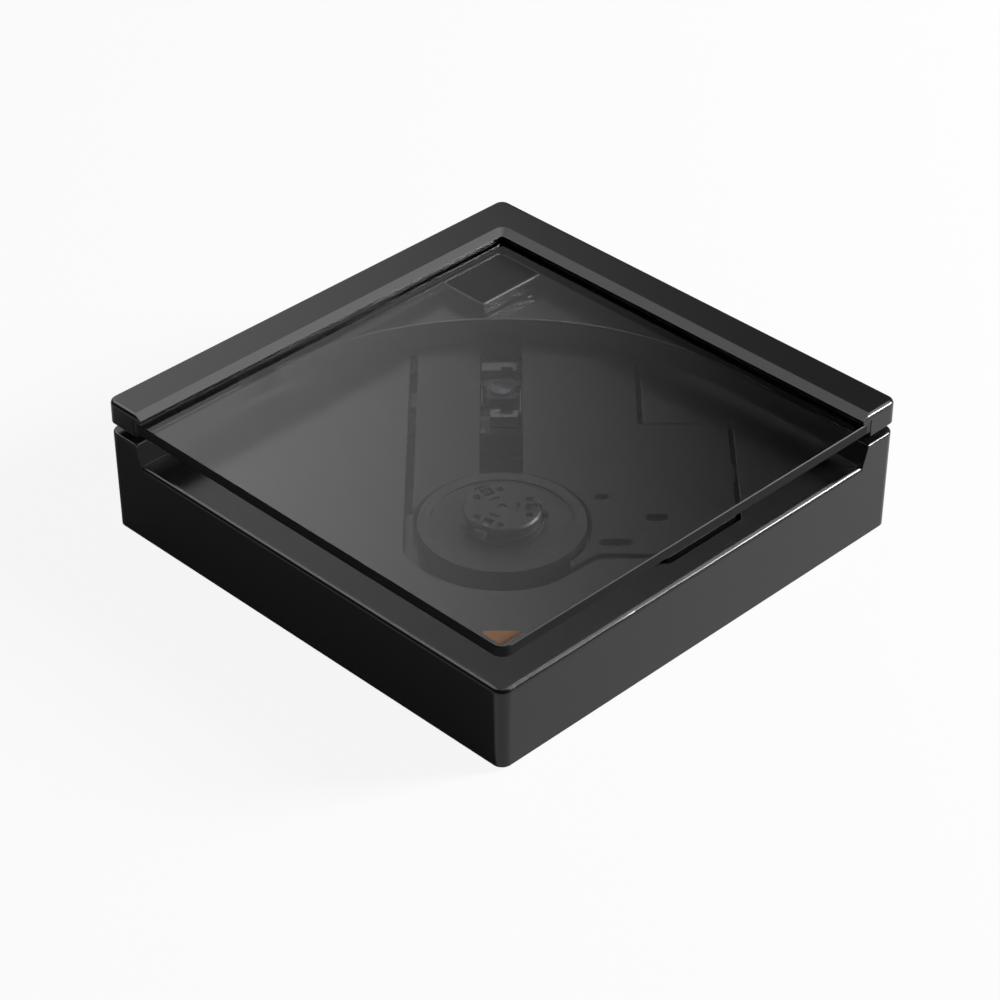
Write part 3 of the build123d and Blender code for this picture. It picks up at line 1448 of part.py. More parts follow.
with BuildPart() as feed_gear:
    with BuildSketch(mech_plane.offset(wheel_bottom)):
        with Locations((gear_u, gear_v)):
            Polygon(*involute_points(wheel_teeth, wheel_module, feed_motor_angle), align=None)
    extrude(amount=wheel_thickness)
    with BuildSketch(mech_plane.offset(wheel_bottom + wheel_thickness)):
        with Locations((gear_u, gear_v)):
            Polygon(*involute_points(pinion_teeth, rack_module, 0), align=None)
    extrude(amount=gear_boss_bottom - gear_end_air - wheel_bottom - wheel_thickness)
    with BuildSketch(mech_plane.offset(wheel_bottom)):
        with Locations((gear_u, gear_v)):
            Circle(gear_pin_radius + gear_pin_clearance)
    extrude(amount=gear_boss_bottom - wheel_bottom, mode=Mode.SUBTRACT)

with BuildPart() as gear_pin:
    with BuildSketch(mech_plane.offset(wheel_bottom - gear_end_air - gear_pin_head)):
        with Locations((gear_u, gear_v)):
            Circle(gear_pin_head_radius)
    extrude(amount=gear_pin_head)
    with BuildSketch(mech_plane.offset(wheel_bottom - gear_end_air)):
        with Locations((gear_u, gear_v)):
            Circle(gear_pin_radius)
    extrude(amount=gear_boss_bottom + gear_pin_seat - wheel_bottom + gear_end_air)

with BuildPart() as feed_pinion:
    with BuildSketch(mech_plane.offset(wheel_bottom - gear_end_air)):
        with Locations((feed_u, feed_v)):
            motor_tooth_turn = feed_motor_angle + 180 + 180 / motor_pinion_teeth
            Polygon(*involute_points(motor_pinion_teeth, wheel_module, motor_tooth_turn), align=None)
    extrude(amount=wheel_thickness + 2 * gear_end_air)
    with BuildSketch(mech_plane.offset(wheel_bottom - gear_end_air)):
        with Locations((feed_u, feed_v)):
            Circle(feed_shaft_radius)
    extrude(amount=feed_motor_bottom + feed_shaft_bearing - wheel_bottom + gear_end_air)

with BuildPart() as feed_motor:
    with BuildSketch(mech_plane.offset(feed_motor_bottom)):
        with Locations((feed_u, feed_v)):
            Circle(feed_motor_radius)
    extrude(amount=chassis_under - feed_motor_bottom)
    chamfer(feed_motor.edges().group_by(Axis.Z)[0], feed_motor_edge)
    with BuildSketch(mech_plane.offset(feed_motor_bottom)):
        with Locations((feed_u, feed_v)):
            Circle(feed_shaft_radius + shaft_clearance)
    extrude(amount=feed_shaft_bearing + gear_end_air, mode=Mode.SUBTRACT)

# ---- Main board and what it carries ----
with BuildPart() as main_board:
    with BuildSketch(Plane.XY.offset(board_bottom)):
        with BuildLine():
            Polyline(
                (-board_half, board_reach_y),
                (-board_half + board_arm, board_reach_y),
                (-board_half + board_arm, board_half - board_arm),
                (board_reach_x, board_half - board_arm),
                (board_reach_x, board_half),
                (-board_half + board_notch, board_half),
                (-board_half + board_notch, board_half - board_notch),
                (-board_half, board_half - board_notch),
                close=True,
            )
        make_face()
    extrude(amount=board_thickness)
    with BuildSketch(Plane.XY.offset(board_bottom)):
        with Locations(*board_screw_places):
            Circle(board_screw_radius + board_screw_clearance)
    extrude(amount=board_thickness, mode=Mode.SUBTRACT)

with BuildPart() as board_screws:
    with BuildSketch(Plane.XY.offset(cover_top)):
        with Locations(*board_screw_places):
            Circle(board_screw_radius)
    extrude(amount=board_top - cover_top)
    with BuildSketch(Plane.XY.offset(board_top)):
        with Locations(*board_screw_places):
            Circle(board_screw_head_radius)
    extrude(amount=board_screw_head)

with BuildPart() as board_chips:
    for from_side, from_back, chip_length, chip_width, chip_height in chip_places:
        with Locations((-board_half + from_side, board_half - from_back, board_top)):
            Box(chip_length, chip_width, chip_height, align=(Align.CENTER, Align.CENTER, Align.MIN))

with BuildPart() as board_capacitors:
    for from_side, from_back in capacitor_places:
        with Locations((-board_half + from_side, board_half - from_back, board_top)):
            Cylinder(
                capacitor_radius,
                capacitor_height,
                align=(Align.CENTER, Align.CENTER, Align.MIN),
            )

with BuildPart() as headphone_jack:
    with Locations((-inner_half + jack_air, jack_y, board_top)):
        Box(jack_length, jack_width, jack_height, align=(Align.MIN, Align.CENTER, Align.MIN))
    with BuildSketch(Plane.YZ.offset(-inner_half + jack_air)):
        with Locations((jack_y, jack_z)):
            Circle(jack_nose_radius)
    extrude(amount=-(outer_at_ports - inner_half + jack_air))
    with BuildSketch(Plane.YZ.offset(-outer_at_ports)):
        with Locations((jack_y, jack_z)):
            Circle(jack_bore_radius)
    extrude(amount=jack_bore_length, mode=Mode.SUBTRACT)

with BuildPart() as charge_port:
    with BuildSketch(Plane.YZ.offset(-outer_at_ports)):
        with Locations((charge_y, charge_z)):
            SlotOverall(charge_width, charge_height)
    extrude(amount=charge_depth)
    with BuildSketch(Plane.YZ.offset(-outer_at_ports)):
        with Locations((charge_y, charge_z)):
            SlotOverall(charge_width - 2 * charge_shell, charge_height - 2 * charge_shell)
    extrude(amount=charge_depth - 1, mode=Mode.SUBTRACT)
    with Locations((-outer_at_ports + charge_tongue_recess, charge_y, charge_z)):
        Box(
            charge_depth - charge_tongue_recess,
            charge_tongue_width,
            charge_tongue_thickness,
            align=(Align.MIN, Align.CENTER, Align.CENTER),
        )

with BuildPart() as side_switches:
    with BuildSketch(Plane.XY.offset(board_top)):
        with Locations((0, board_half)):
            with GridLocations(button_pitch, 1, button_count, 1):
                Rectangle(switch_width, switch_depth, align=(Align.CENTER, Align.MAX))
    extrude(amount=switch_height)
    with BuildSketch(Plane.XZ.offset(-board_half)):
        with Locations((0, button_z)):
            with GridLocations(button_pitch, 1, button_count, 1):
                Circle(switch_nub_radius)
    extrude(amount=-(button_back - button_travel - switch_air - board_half))

buttons = []
for button_number in range(button_count):
    button_x = (button_number - (button_count - 1) / 2) * button_pitch
    with BuildPart() as button:
        with BuildSketch(Plane.XZ.offset(-button_back)):
            with Locations((button_x, button_z)):
                SlotOverall(button_width + 2 * button_flange, button_height + 2 * button_flange)
        extrude(amount=-button_flange_thickness)
        with BuildSketch(Plane.XZ.offset(-button_back)):
            with Locations((button_x, button_z)):
                SlotOverall(button_width, button_height)
        extrude(amount=-(outer_at_buttons - button_back))
        chamfer(button.faces().sort_by(Axis.Y)[-1].edges(), small_chamfer)
    buttons.append(button)

# ---- Battery ----
with BuildPart() as battery_pad:
    with BuildSketch(mech_plane.offset(cover_top)):
        with Locations((battery_u, battery_v)):
            Rectangle(battery_width - 2, battery_length - 2)
    extrude(amount=battery_tape)

with BuildPart() as battery:
    with BuildSketch(mech_plane.offset(cover_top + battery_tape)):
        with Locations((battery_u, battery_v)):
            Rectangle(battery_width, battery_length)
    extrude(amount=battery_thickness)
    fillet(battery.edges().filter_by(Axis.Z), battery_corner)

# ---- Ribbon cable ----
with BuildPart() as pickup_ribbon:
    bend = (sled_bottom - ribbon_leg - ribbon_thickness) / 2
    upper = sled_bottom - ribbon_thickness
    connector_face = connector_v - connector_depth / 2
    plug_height = board_top + connector_height / 2
    ribbon_plane = Plane(
        origin=mech_plane.from_local_coords((ribbon_u - ribbon_width / 2, 0, 0)),
        x_dir=(-1, 1, 0),
        z_dir=(1, 1, 0),
    )
    with BuildSketch(ribbon_plane):
        with BuildLine():
            Line((ribbon_start_v, upper), (ribbon_bend_v, upper))
            ThreePointArc(
                (ribbon_bend_v, upper),
                (ribbon_bend_v - bend, ribbon_leg + bend),
                (ribbon_bend_v, ribbon_leg),
            )
            Polyline(
                (ribbon_bend_v, ribbon_leg),
                (connector_face - ribbon_drop, ribbon_leg),
                (connector_face, plug_height),
                (connector_face, plug_height + ribbon_thickness),
                (connector_face - ribbon_drop, ribbon_leg + ribbon_thickness),
                (ribbon_bend_v, ribbon_leg + ribbon_thickness),
            )
            ThreePointArc(
                (ribbon_bend_v, ribbon_leg + ribbon_thickness),
                (ribbon_bend_v - bend + ribbon_thickness, ribbon_leg + bend),
                (ribbon_bend_v, upper - ribbon_thickness),
            )
            Polyline(
                (ribbon_bend_v, upper - ribbon_thickness),
                (ribbon_start_v, upper - ribbon_thickness),
                (ribbon_start_v, upper),
            )
        make_face()
    extrude(amount=ribbon_width)

with BuildPart() as ribbon_connector:
    with BuildSketch(mech_plane.offset(board_top)):
        with Locations((ribbon_u, connector_v)):
            Rectangle(connector_width, connector_depth)
    extrude(amount=connector_height)

pieces = {
    "upper_housing": upper_housing,
    "bottom_cover": bottom_cover,
    "cover_screws": cover_screws,
    "rubber_pads": rubber_pads,
    "lid_rail": lid_rail,
    "lid_plate": lid_plate,
    "lid_gasket": lid_gasket,
    "corner_mark": corner_mark,
    "pivot_block": pivot_block,
    "block_tape": block_tape,
    "pivot_shaft": pivot_shaft,
    "retaining_ring": retaining_ring,
    "pivot_washer": pivot_washer,
    "pivot_bush": pivot_bush,
    "lid_magnets": lid_magnets,
    "case_magnets": case_magnets,
    "chassis": chassis,
    "dampers": dampers,
    "shoulder_screws": shoulder_screws,
    "turntable": turntable,
    "turntable_pad": turntable_pad,
    "rotor_shaft": rotor_shaft,
    "claw_springs": claw_springs,
    "spindle_motor": spindle_motor,
    "motor_screws": motor_screws,
    "main_rod": main_rod,
    "side_rod": side_rod,
    "sled": sled,
    "actuator_base": actuator_base,
    "front_yoke": front_yoke,
    "rear_yoke": rear_yoke,
    "ribbon_pads": ribbon_pads,
    "suspension_wires": suspension_wires,
    "lens_holder": lens_holder,
    "lens": lens,
    "rack": rack,
    "feed_gear": feed_gear,
    "gear_pin": gear_pin,
    "feed_pinion": feed_pinion,
    "feed_motor": feed_motor,
    "main_board": main_board,
    "board_screws": board_screws,
    "board_chips": board_chips,
    "board_capacitors": board_capacitors,
    "headphone_jack": headphone_jack,
    "charge_port": charge_port,
    "side_switches": side_switches,
    "battery_pad": battery_pad,
    "battery": battery,
    "pickup_ribbon": pickup_ribbon,
    "ribbon_connector": ribbon_connector,
}
for claw_number, claw in enumerate(claws, start=1):
    pieces[f"hub_claw_{claw_number}"] = claw
for button_name, button in zip(button_names, buttons):
    pieces[button_name] = button

os.makedirs("parts", exist_ok=True)
for name, piece in pieces.items():
    piece.part.label = name
    export_step(piece.part, f"parts/{name}.step")
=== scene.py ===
import json
import math
import bpy
import bmesh
from mathutils import Matrix, Vector


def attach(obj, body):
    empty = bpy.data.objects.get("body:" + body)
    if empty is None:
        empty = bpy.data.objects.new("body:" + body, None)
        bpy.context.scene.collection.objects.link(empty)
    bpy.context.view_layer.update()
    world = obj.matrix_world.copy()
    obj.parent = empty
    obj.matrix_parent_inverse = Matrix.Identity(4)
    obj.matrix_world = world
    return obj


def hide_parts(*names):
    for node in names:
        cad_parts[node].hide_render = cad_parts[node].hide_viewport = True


# The player lies on its back, its low sides to -Y and +X.
# Everything is in metres, and +Z points out of the deck.
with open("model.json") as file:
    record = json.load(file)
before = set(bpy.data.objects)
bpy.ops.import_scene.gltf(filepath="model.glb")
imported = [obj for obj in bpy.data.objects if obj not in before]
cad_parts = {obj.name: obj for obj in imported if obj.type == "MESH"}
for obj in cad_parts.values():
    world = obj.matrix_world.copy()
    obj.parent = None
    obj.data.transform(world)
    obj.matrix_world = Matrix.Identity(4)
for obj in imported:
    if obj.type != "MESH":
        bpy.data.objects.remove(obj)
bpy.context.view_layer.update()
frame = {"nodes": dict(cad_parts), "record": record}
nodes = frame["nodes"]


# a new material with an empty tree, and the socket that takes its surface
def emptyMaterial(name):
    material = bpy.data.materials.new(name)
    material.use_nodes = True
    tree = material.node_tree
    tree.nodes.clear()
    output = tree.nodes.new("ShaderNodeOutputMaterial")
    return material, tree, output.inputs["Surface"]


# a new material with one Principled shader on its output
def newMaterial(name):
    material, tree, surface = emptyMaterial(name)
    shader = tree.nodes.new("ShaderNodeBsdfPrincipled")
    tree.links.new(shader.outputs["BSDF"], surface)
    return material, tree, shader


def setInputs(node, values):
    for label, value in values.items():
        node.inputs[label].default_value = value


# a calculation with two values, each a socket or a number
def mathNode(tree, operation, first, second=None):
    node = tree.nodes.new("ShaderNodeMath")
    node.operation = operation
    for socket, value in zip(node.inputs, (first, second)):
        if isinstance(value, bpy.types.NodeSocket):
            tree.links.new(value, socket)
        elif value is not None:
            socket.default_value = value
    return node.outputs[0]


# the first shader where the share is 0, the second where it is 1
def mixShaders(tree, share, first, second):
    mix = tree.nodes.new("ShaderNodeMixShader")
    for socket, source in zip(mix.inputs, (share, first, second)):
        tree.links.new(source, socket)
    return mix.outputs["Shader"]


def objectPoint(tree, stretch=(1, 1, 1), turn=(0, 0, 0)):
    coords = tree.nodes.new("ShaderNodeTexCoord")
    mapping = tree.nodes.new("ShaderNodeMapping")
    setInputs(mapping, {"Scale": stretch, "Rotation": turn})
    tree.links.new(coords.outputs["Object"], mapping.inputs["Vector"])
    return mapping.outputs["Vector"]


# noise whose features are about this many metres
def noiseField(tree, point, size, detail):
    noise = tree.nodes.new("ShaderNodeTexNoise")
    setInputs(noise, {"Scale": 1 / size, "Detail": detail})
    tree.links.new(point, noise.inputs["Vector"])
    return noise.outputs["Fac"]


# turns a 0 to 1 field into one from low to high
def spread(tree, value, low, high):
    ranged = tree.nodes.new("ShaderNodeMapRange")
    setInputs(ranged, {"To Min": low, "To Max": high})
    tree.links.new(value, ranged.inputs["Value"])
    return ranged.outputs["Result"]


blendEnds = (0.3, 0.7)  # where a field is wholly the first colour, and wholly the second


def blendColours(tree, value, first, second):
    ramp = tree.nodes.new("ShaderNodeValToRGB")
    for stop, colour, position in zip(ramp.color_ramp.elements, (first, second), blendEnds):
        stop.color = (*colour, 1)
        stop.position = position
    tree.links.new(value, ramp.inputs["Fac"])
    return ramp.outputs["Color"]


def shade(colour, factor):
    return tuple(min(1.0, channel * factor) for channel in colour)


# the colour, from one shade of itself to another
def toneField(tree, value, colour, first, second):
    return blendColours(tree, value, shade(colour, first), shade(colour, second))


bevelSamples = 8


# bumps the surface; an edge radius above 0 also softens its sharp edges, so that they catch light
def addBump(tree, shader, height, strength, depth, edge=0.0):
    bump = tree.nodes.new("ShaderNodeBump")
    setInputs(bump, {"Strength": strength, "Distance": depth})
    tree.links.new(height, bump.inputs["Height"])
    if edge > 0:
        soft = tree.nodes.new("ShaderNodeBevel")
        soft.samples = bevelSamples
        setInputs(soft, {"Radius": edge})
        tree.links.new(soft.outputs["Normal"], bump.inputs["Normal"])
    tree.links.new(bump.outputs["Normal"], shader.inputs["Normal"])


# cloud: size of the uneven patches; tone: their darkest and lightest shade;
# sheen: how far the roughness wanders
plasticLook = {"cloud": 0.012, "tone": (0.88, 1.12), "sheen": 0.03, "bump": 0.25}


# satin moulded plastic: a fine spark-eroded grain, slightly uneven in tone and sheen
def mouldedPlastic(name, colour, rough, grain=0.00018, depth=0.000003, gloss=0.5, edge=0.0001):
    look = plasticLook
    material, tree, shader = newMaterial(name)
    point = objectPoint(tree)
    cloud = noiseField(tree, point, look["cloud"], 3)
    fine = noiseField(tree, point, grain, 2)
    tone = toneField(tree, cloud, colour, *look["tone"])
    sheen = spread(tree, fine, rough - look["sheen"], rough + look["sheen"])
    tree.links.new(tone, shader.inputs["Base Color"])
    tree.links.new(sheen, shader.inputs["Roughness"])
    setInputs(shader, {"Specular IOR Level": gloss})
    addBump(tree, shader, fine, look["bump"], depth, edge)
    return material


# line: how long the lines are, which the stretch makes that many times narrower
metalLook = {
    "line": 0.048, "tone": (0.86, 1.1), "cloud": 0.004, "sheen": 0.06,
    "bump": 0.2, "depth": 0.000003,
}


# metal with fine lines along the axis whose stretch is 1
def brushedMetal(
        name, colour, rough, stretch=(60, 60, 1), turn=(0, 0, 0), coarse=1.0, metallic=1.0):
    look = metalLook
    material, tree, shader = newMaterial(name)
    streaks = noiseField(tree, objectPoint(tree, stretch, turn), look["line"] * coarse, 3)
    cloud = noiseField(tree, objectPoint(tree), look["cloud"], 2)
    tone = toneField(tree, streaks, colour, *look["tone"])
    sheen = spread(tree, cloud, rough - look["sheen"], rough + look["sheen"])
    tree.links.new(tone, shader.inputs["Base Color"])
    tree.links.new(sheen, shader.inputs["Roughness"])
    setInputs(shader, {"Metallic": metallic})
    addBump(tree, shader, streaks, look["bump"], look["depth"])
    return material


rubberLook = {
    "cloud": 0.003, "tone": (0.8, 1.25), "grain": 0.00012, "rough": (0.72, 0.88),
    "gloss": 0.3, "bump": 0.5, "depth": 0.00001,
}


def softRubber(name, colour):
    look = rubberLook
    material, tree, shader = newMaterial(name)
    point = objectPoint(tree)
    cloud = noiseField(tree, point, look["cloud"], 3)
    fine = noiseField(tree, point, look["grain"], 1)
    tree.links.new(toneField(tree, cloud, colour, *look["tone"]), shader.inputs["Base Color"])
    tree.links.new(spread(tree, fine, *look["rough"]), shader.inputs["Roughness"])
    setInputs(shader, {"Specular IOR Level": look["gloss"]})
    addBump(tree, shader, fine, look["bump"], look["depth"])
    return material


# 1 on faces that stand upright or slope, such as the edges of a plate
def edgeFaces(tree, flatFrom):
    coords = tree.nodes.new("ShaderNodeTexCoord")
    parts = tree.nodes.new("ShaderNodeSeparateXYZ")
    tree.links.new(coords.outputs["Normal"], parts.inputs["Vector"])
    tilt = mathNode(tree, "ABSOLUTE", parts.outputs["Z"])
    return mathNode(tree, "LESS_THAN", tilt, flatFrom)


# haze: lowest and highest roughness; flatFrom: a face whose normal rises less is an edge
glassLook = {
    "tint": (0.84, 0.84, 0.85), "index": 1.49, "sheen": (0.38, 0.38, 0.38),
    "cloud": 0.02, "haze": (0.0072, 0.0168), "flatFrom": 0.8, "edgeRough": 0.4, "edgeGloss": 0.12,
}


# clear acrylic with a grey cast and blackened edges
# light on its way to the deck goes straight through
def smokedGlass(name, edgeColour):
    look = glassLook
    tint = (*look["tint"], 1)
    material, tree, surface = emptyMaterial(name)
    shader = tree.nodes.new("ShaderNodeBsdfPrincipled")
    setInputs(shader, {
        "Base Color": tint,
        "Transmission Weight": 1,
        "IOR": look["index"],
        "Specular Tint": (*look["sheen"], 1),
    })
    cloud = noiseField(tree, objectPoint(tree), look["cloud"], 2)
    tree.links.new(spread(tree, cloud, *look["haze"]), shader.inputs["Roughness"])
    clear = tree.nodes.new("ShaderNodeBsdfTransparent")
    setInputs(clear, {"Color": tint})
    edge = tree.nodes.new("ShaderNodeBsdfPrincipled")
    setInputs(edge, {
        "Base Color": (*edgeColour, 1),
        "Roughness": look["edgeRough"],
        "Specular IOR Level": look["edgeGloss"],
    })
    path = tree.nodes.new("ShaderNodeLightPath").outputs
    passing = mathNode(tree, "MAXIMUM", path["Is Shadow Ray"], path["Is Diffuse Ray"])
    faces = mixShaders(tree, passing, shader.outputs["BSDF"], clear.outputs["BSDF"])
    whole = mixShaders(tree, edgeFaces(tree, look["flatFrom"]), faces, edge.outputs["BSDF"])
    tree.links.new(whole, surface)
    return material


inkLook = {"dot": 0.00025, "turn": 0.5, "tone": (1.1, 0.85), "rough": 0.6}


# a printed mark: even colour with the faint dots of its screen
def printedInk(name, colour):
    look = inkLook
    material, tree, shader = newMaterial(name)
    dots = tree.nodes.new("ShaderNodeTexVoronoi")
    setInputs(dots, {"Scale": 1 / look["dot"]})
    tree.links.new(objectPoint(tree, turn=(0, 0, look["turn"])), dots.inputs["Vector"])
    tone = toneField(tree, dots.outputs["Distance"], colour, *look["tone"])
    tree.links.new(tone, shader.inputs["Base Color"])
    setInputs(shader, {"Roughness": look["rough"]})
    return material


# pitch: size of the track pattern, which the sizes below it are parts of
boardLook = {
    "pitch": 0.004,
    "tracks": {
        "Mortar Size": 0.035, "Mortar Smooth": 0.1, "Bias": 0,
        "Brick Width": 2.3, "Row Height": 0.2,
    },
    "weave": 0.0004, "rough": (0.28, 0.36), "light": 1.35, "bump": 0.3, "depth": 0.00002,
}


# circuit board: dark resist over straight copper tracks, with a faint weave
def boardResin(name, resin, copper):
    look = boardLook
    material, tree, shader = newMaterial(name)
    point = objectPoint(tree)
    tracks = tree.nodes.new("ShaderNodeTexBrick")
    setInputs(tracks, {
        "Scale": 1 / look["pitch"],
        "Color1": (*resin, 1),
        "Color2": (*shade(resin, look["light"]), 1),
        "Mortar": (*copper, 1),
    })
    setInputs(tracks, look["tracks"])
    tree.links.new(point, tracks.inputs["Vector"])
    weave = tree.nodes.new("ShaderNodeTexChecker")
    setInputs(weave, {"Scale": 1 / look["weave"]})
    tree.links.new(point, weave.inputs["Vector"])
    tree.links.new(tracks.outputs["Color"], shader.inputs["Base Color"])
    tree.links.new(spread(tree, weave.outputs["Fac"], *look["rough"]), shader.inputs["Roughness"])
    addBump(tree, shader, tracks.outputs["Fac"], look["bump"], look["depth"])
    return material


ribbonLook = {"wave": 0.0016, "rough": 0.32, "coat": 0.4, "bump": 0.4, "depth": 0.00002}


# flat flexible cable: copper conductors side by side under amber film
def ribbonFilm(name, film, copper, turn):
    look = ribbonLook
    material, tree, shader = newMaterial(name)
    wave = tree.nodes.new("ShaderNodeTexWave")
    wave.bands_direction = "X"
    setInputs(wave, {"Scale": 1 / look["wave"]})
    tree.links.new(objectPoint(tree, turn=(0, 0, turn)), wave.inputs["Vector"])
    bands = blendColours(tree, wave.outputs["Fac"], film, copper)
    tree.links.new(bands, shader.inputs["Base Color"])
    setInputs(shader, {"Roughness": look["rough"], "Coat Weight": look["coat"]})
    addBump(tree, shader, wave.outputs["Fac"], look["bump"], look["depth"])
    return material


# blend and tone: how the colour grows up to 2.2 times lighter toward glancing angles, a painted
# sheen
lensSheenLook = {"blend": 0.35, "tone": (1, 2.2), "rough": 0.25, "gloss": 0.35}


# moulded lens with the violet cast of its coating; its colour is painted lighter toward glancing
# angles, a painted sheen
def lensPaintedSheen(name, colour):
    look = lensSheenLook
    material, tree, shader = newMaterial(name)
    layer = tree.nodes.new("ShaderNodeLayerWeight")
    setInputs(layer, {"Blend": look["blend"]})
    # painted sheen: the colour lighter where the surface is seen at a glancing angle
    tone = toneField(tree, layer.outputs["Facing"], colour, *look["tone"])
    tree.links.new(tone, shader.inputs["Base Color"])
    setInputs(shader, {"Roughness": look["rough"], "Specular IOR Level": look["gloss"]})
    return material


mechTurn = math.radians(45)  # the mechanism stands at 45 degrees in the case
alongMech = (0, 0, -mechTurn)
black = (0.0045, 0.0045, 0.0046)
darkBlack = shade(black, 0.9)
softBlack = shade(black, 1.8)
rubberBlack = (0.012, 0.012, 0.012)
brass = (0.62, 0.44, 0.19)
polished = 0.000001  # grain too shallow to see
rounded = 0.0002  # edges that catch light along their length
finishes = {
    "case_plastic": mouldedPlastic("casePlastic", black, 0.2, depth=polished, edge=rounded),
    "cover_plastic": mouldedPlastic("coverPlastic", softBlack, 0.4, grain=0.0004, depth=0.000012),
    "chassis_plastic": mouldedPlastic(
        "chassisPlastic", black, 0.22, grain=0.00025, depth=polished, gloss=0.34),
    "turntable_plastic": mouldedPlastic(
        "turntablePlastic", black, 0.42, depth=polished, gloss=0.24, edge=0.00005),
    "sled_plastic": mouldedPlastic("sledPlastic", darkBlack, 0.3, gloss=0.3),
    "holder_plastic": mouldedPlastic("holderPlastic", darkBlack, 0.3, gloss=0.3),
    "claw_plastic": mouldedPlastic("clawPlastic", shade(black, 0.4), 0.4, gloss=0.15, edge=0.00004),
    "button_plastic": mouldedPlastic("buttonPlastic", softBlack, 0.25),
    "port_plastic": mouldedPlastic("portPlastic", (0.010, 0.010, 0.010), 0.38),
    "chip_resin": mouldedPlastic("chipResin", (0.012, 0.012, 0.012), 0.55, grain=0.0001),
    "connector_plastic": mouldedPlastic("connectorPlastic", (0.34, 0.33, 0.31), 0.5, gloss=0.4),
    "gear_plastic": mouldedPlastic("gearPlastic", (0.62, 0.61, 0.57), 0.45, gloss=0.4),
    "washer_resin": mouldedPlastic("washerResin", (0.5, 0.5, 0.48), 0.5, gloss=0.3),
    "block_steel": mouldedPlastic("blockPaint", black, 0.22, grain=0.00022, edge=rounded),
    "screw_steel": brushedMetal("screwSteel", (0.16, 0.16, 0.165), 0.35, metallic=0.9),
    "rod_steel": brushedMetal("rodSteel", (0.62, 0.62, 0.63), 0.2, (40, 1, 40), alongMech),
    "spring_steel": brushedMetal("springSteel", (0.3, 0.3, 0.31), 0.35),
    "bracket_steel": brushedMetal(
        "bracketSteel", (0.09, 0.09, 0.092), 0.5, (1, 40, 40), alongMech),
    "motor_can": brushedMetal("motorCan", (0.5, 0.5, 0.51), 0.32),
    "magnet_plating": brushedMetal("magnetPlating", (0.58, 0.57, 0.56), 0.18),
    "bush_brass": brushedMetal("bushBrass", brass, 0.26, (1, 1, 50)),
    "gear_brass": brushedMetal("gearBrass", brass, 0.3, (1, 1, 50)),
    "port_shell": brushedMetal("portShell", (0.52, 0.52, 0.53), 0.26, (1, 50, 50)),
    "capacitor_can": brushedMetal("capacitorCan", (0.66, 0.66, 0.67), 0.3),
    "battery_foil": brushedMetal(
        "batteryFoil", (0.5, 0.5, 0.52), 0.4, (6, 1, 6), alongMech, coarse=2.5),
    "black_rubber": softRubber("blackRubber", rubberBlack),
    "tape": softRubber("foamTape", rubberBlack),
    "smoked_glass": smokedGlass("smokedGlass", black),
    "mark_ink": printedInk("markInk", (0.34, 0.16, 0.06)),
    "board_resin": boardResin("boardResin", (0.006, 0.05, 0.028), (0.05, 0.16, 0.07)),
    "ribbon_film": ribbonFilm("ribbonFilm", (0.25, 0.12, 0.035), (0.16, 0.07, 0.02), mechTurn),
    "lens_glass": lensPaintedSheen("lensPaintedSheen", (0.006, 0.006, 0.011)),
}
# single pieces whose finish isn't that of their group
ownFinishes = {
    "turntable_pad": mouldedPlastic(
        "padRubber", black, 0.42, depth=polished, gloss=0.26, edge=0.0),
    "lid_gasket": mouldedPlastic("gasketRubber", black, 0.4, gloss=0.4, edge=0.0),
    # the shaft's steel painted near-black: painted shade standing in for the dark hole at the hub's
    # centre
    "rotor_shaft": brushedMetal("shaftPaintedShade", (0.03, 0.03, 0.03), 0.4),
    # claw 3 painted lighter than the other claws: a painted highlight for the light its nose
    # catches
    "hub_claw_3": mouldedPlastic("clawPaintedHighlight", (0.05, 0.05, 0.048), 0.4, gloss=0.3, edge=0.00004),
    "ribbon_pads": mouldedPlastic("padResin", (0.09, 0.09, 0.085), 0.5, gloss=0.3, edge=0.0),
}


def dressNodes():
    for entry in frame["record"]["subparts"]:
        mesh = nodes[entry["node"]].data
        finish = ownFinishes.get(entry["node"], finishes[entry["material_slot"]])
        if not mesh.materials:
            mesh.materials.append(None)
        for index in range(len(mesh.materials)):
            mesh.materials[index] = finish
    print("dressed the nodes:", len(finishes), "finishes and", len(ownFinishes), "single ones")


dressNodes()

# Cross-head screws. A head that faces down has its flat top at the lowest point of its solid.
screwKinds = {
    "cover_screws": {
        "head": 0.0021, "neck": 0.0008, "rise": 0.0013, "shaft": 0.00078, "recess": 0.0024,
        "down": True,
    },
    "board_screws": {
        "head": 0.0017, "neck": 0.0016, "rise": 0.001, "shaft": 0.0009, "recess": 0.002,
        "down": False,
    },
    "motor_screws": {
        "head": 0.0015, "neck": 0.0014, "rise": 0.0004, "shaft": 0.00085, "recess": 0.0017,
        "down": False,
    },
}
screwMake = {
    "recessWidth": 0.00042,
    "headSides": 40,
    "shaftSides": 24,
    "sharpFrom": math.radians(35),  # flatter edges are shaded smooth
    "mergeGap": 0.000001,
}


# lowest and highest corner of each separate solid of a node
def solidBoxes(node):
    solids = bmesh.new()
    solids.from_mesh(nodes[node].data)
    bmesh.ops.remove_doubles(solids, verts=solids.verts, dist=screwMake["mergeGap"])
    left = set(solids.verts)
    boxes = []
    for start in list(solids.verts):
        if start not in left:
            continue
        left.remove(start)
        reached = [start]
        points = []
        while reached:
            corner = reached.pop()
            points.append(corner.co.copy())
            for edge in corner.link_edges:
                other = edge.other_vert(corner)
                if other in left:
                    left.remove(other)
                    reached.append(other)
        low = Vector([min(point[axis] for point in points) for axis in range(3)])
        high = Vector([max(point[axis] for point in points) for axis in range(3)])
        boxes.append((low, high))
    solids.free()
    return boxes


# sockets of the screw tree: name and kind
screwSockets = {
    "Places": "Geometry",
    "Head Radius": "Float",
    "Neck Radius": "Float",
    "Head Height": "Float",
    "Shaft Radius": "Float",
    "Length": "Float",
    "Recess": "Float",
    "Recess Width": "Float",
    "Turn": "Vector",
    "Seed": "Int",
    "Steel": "Material",
}


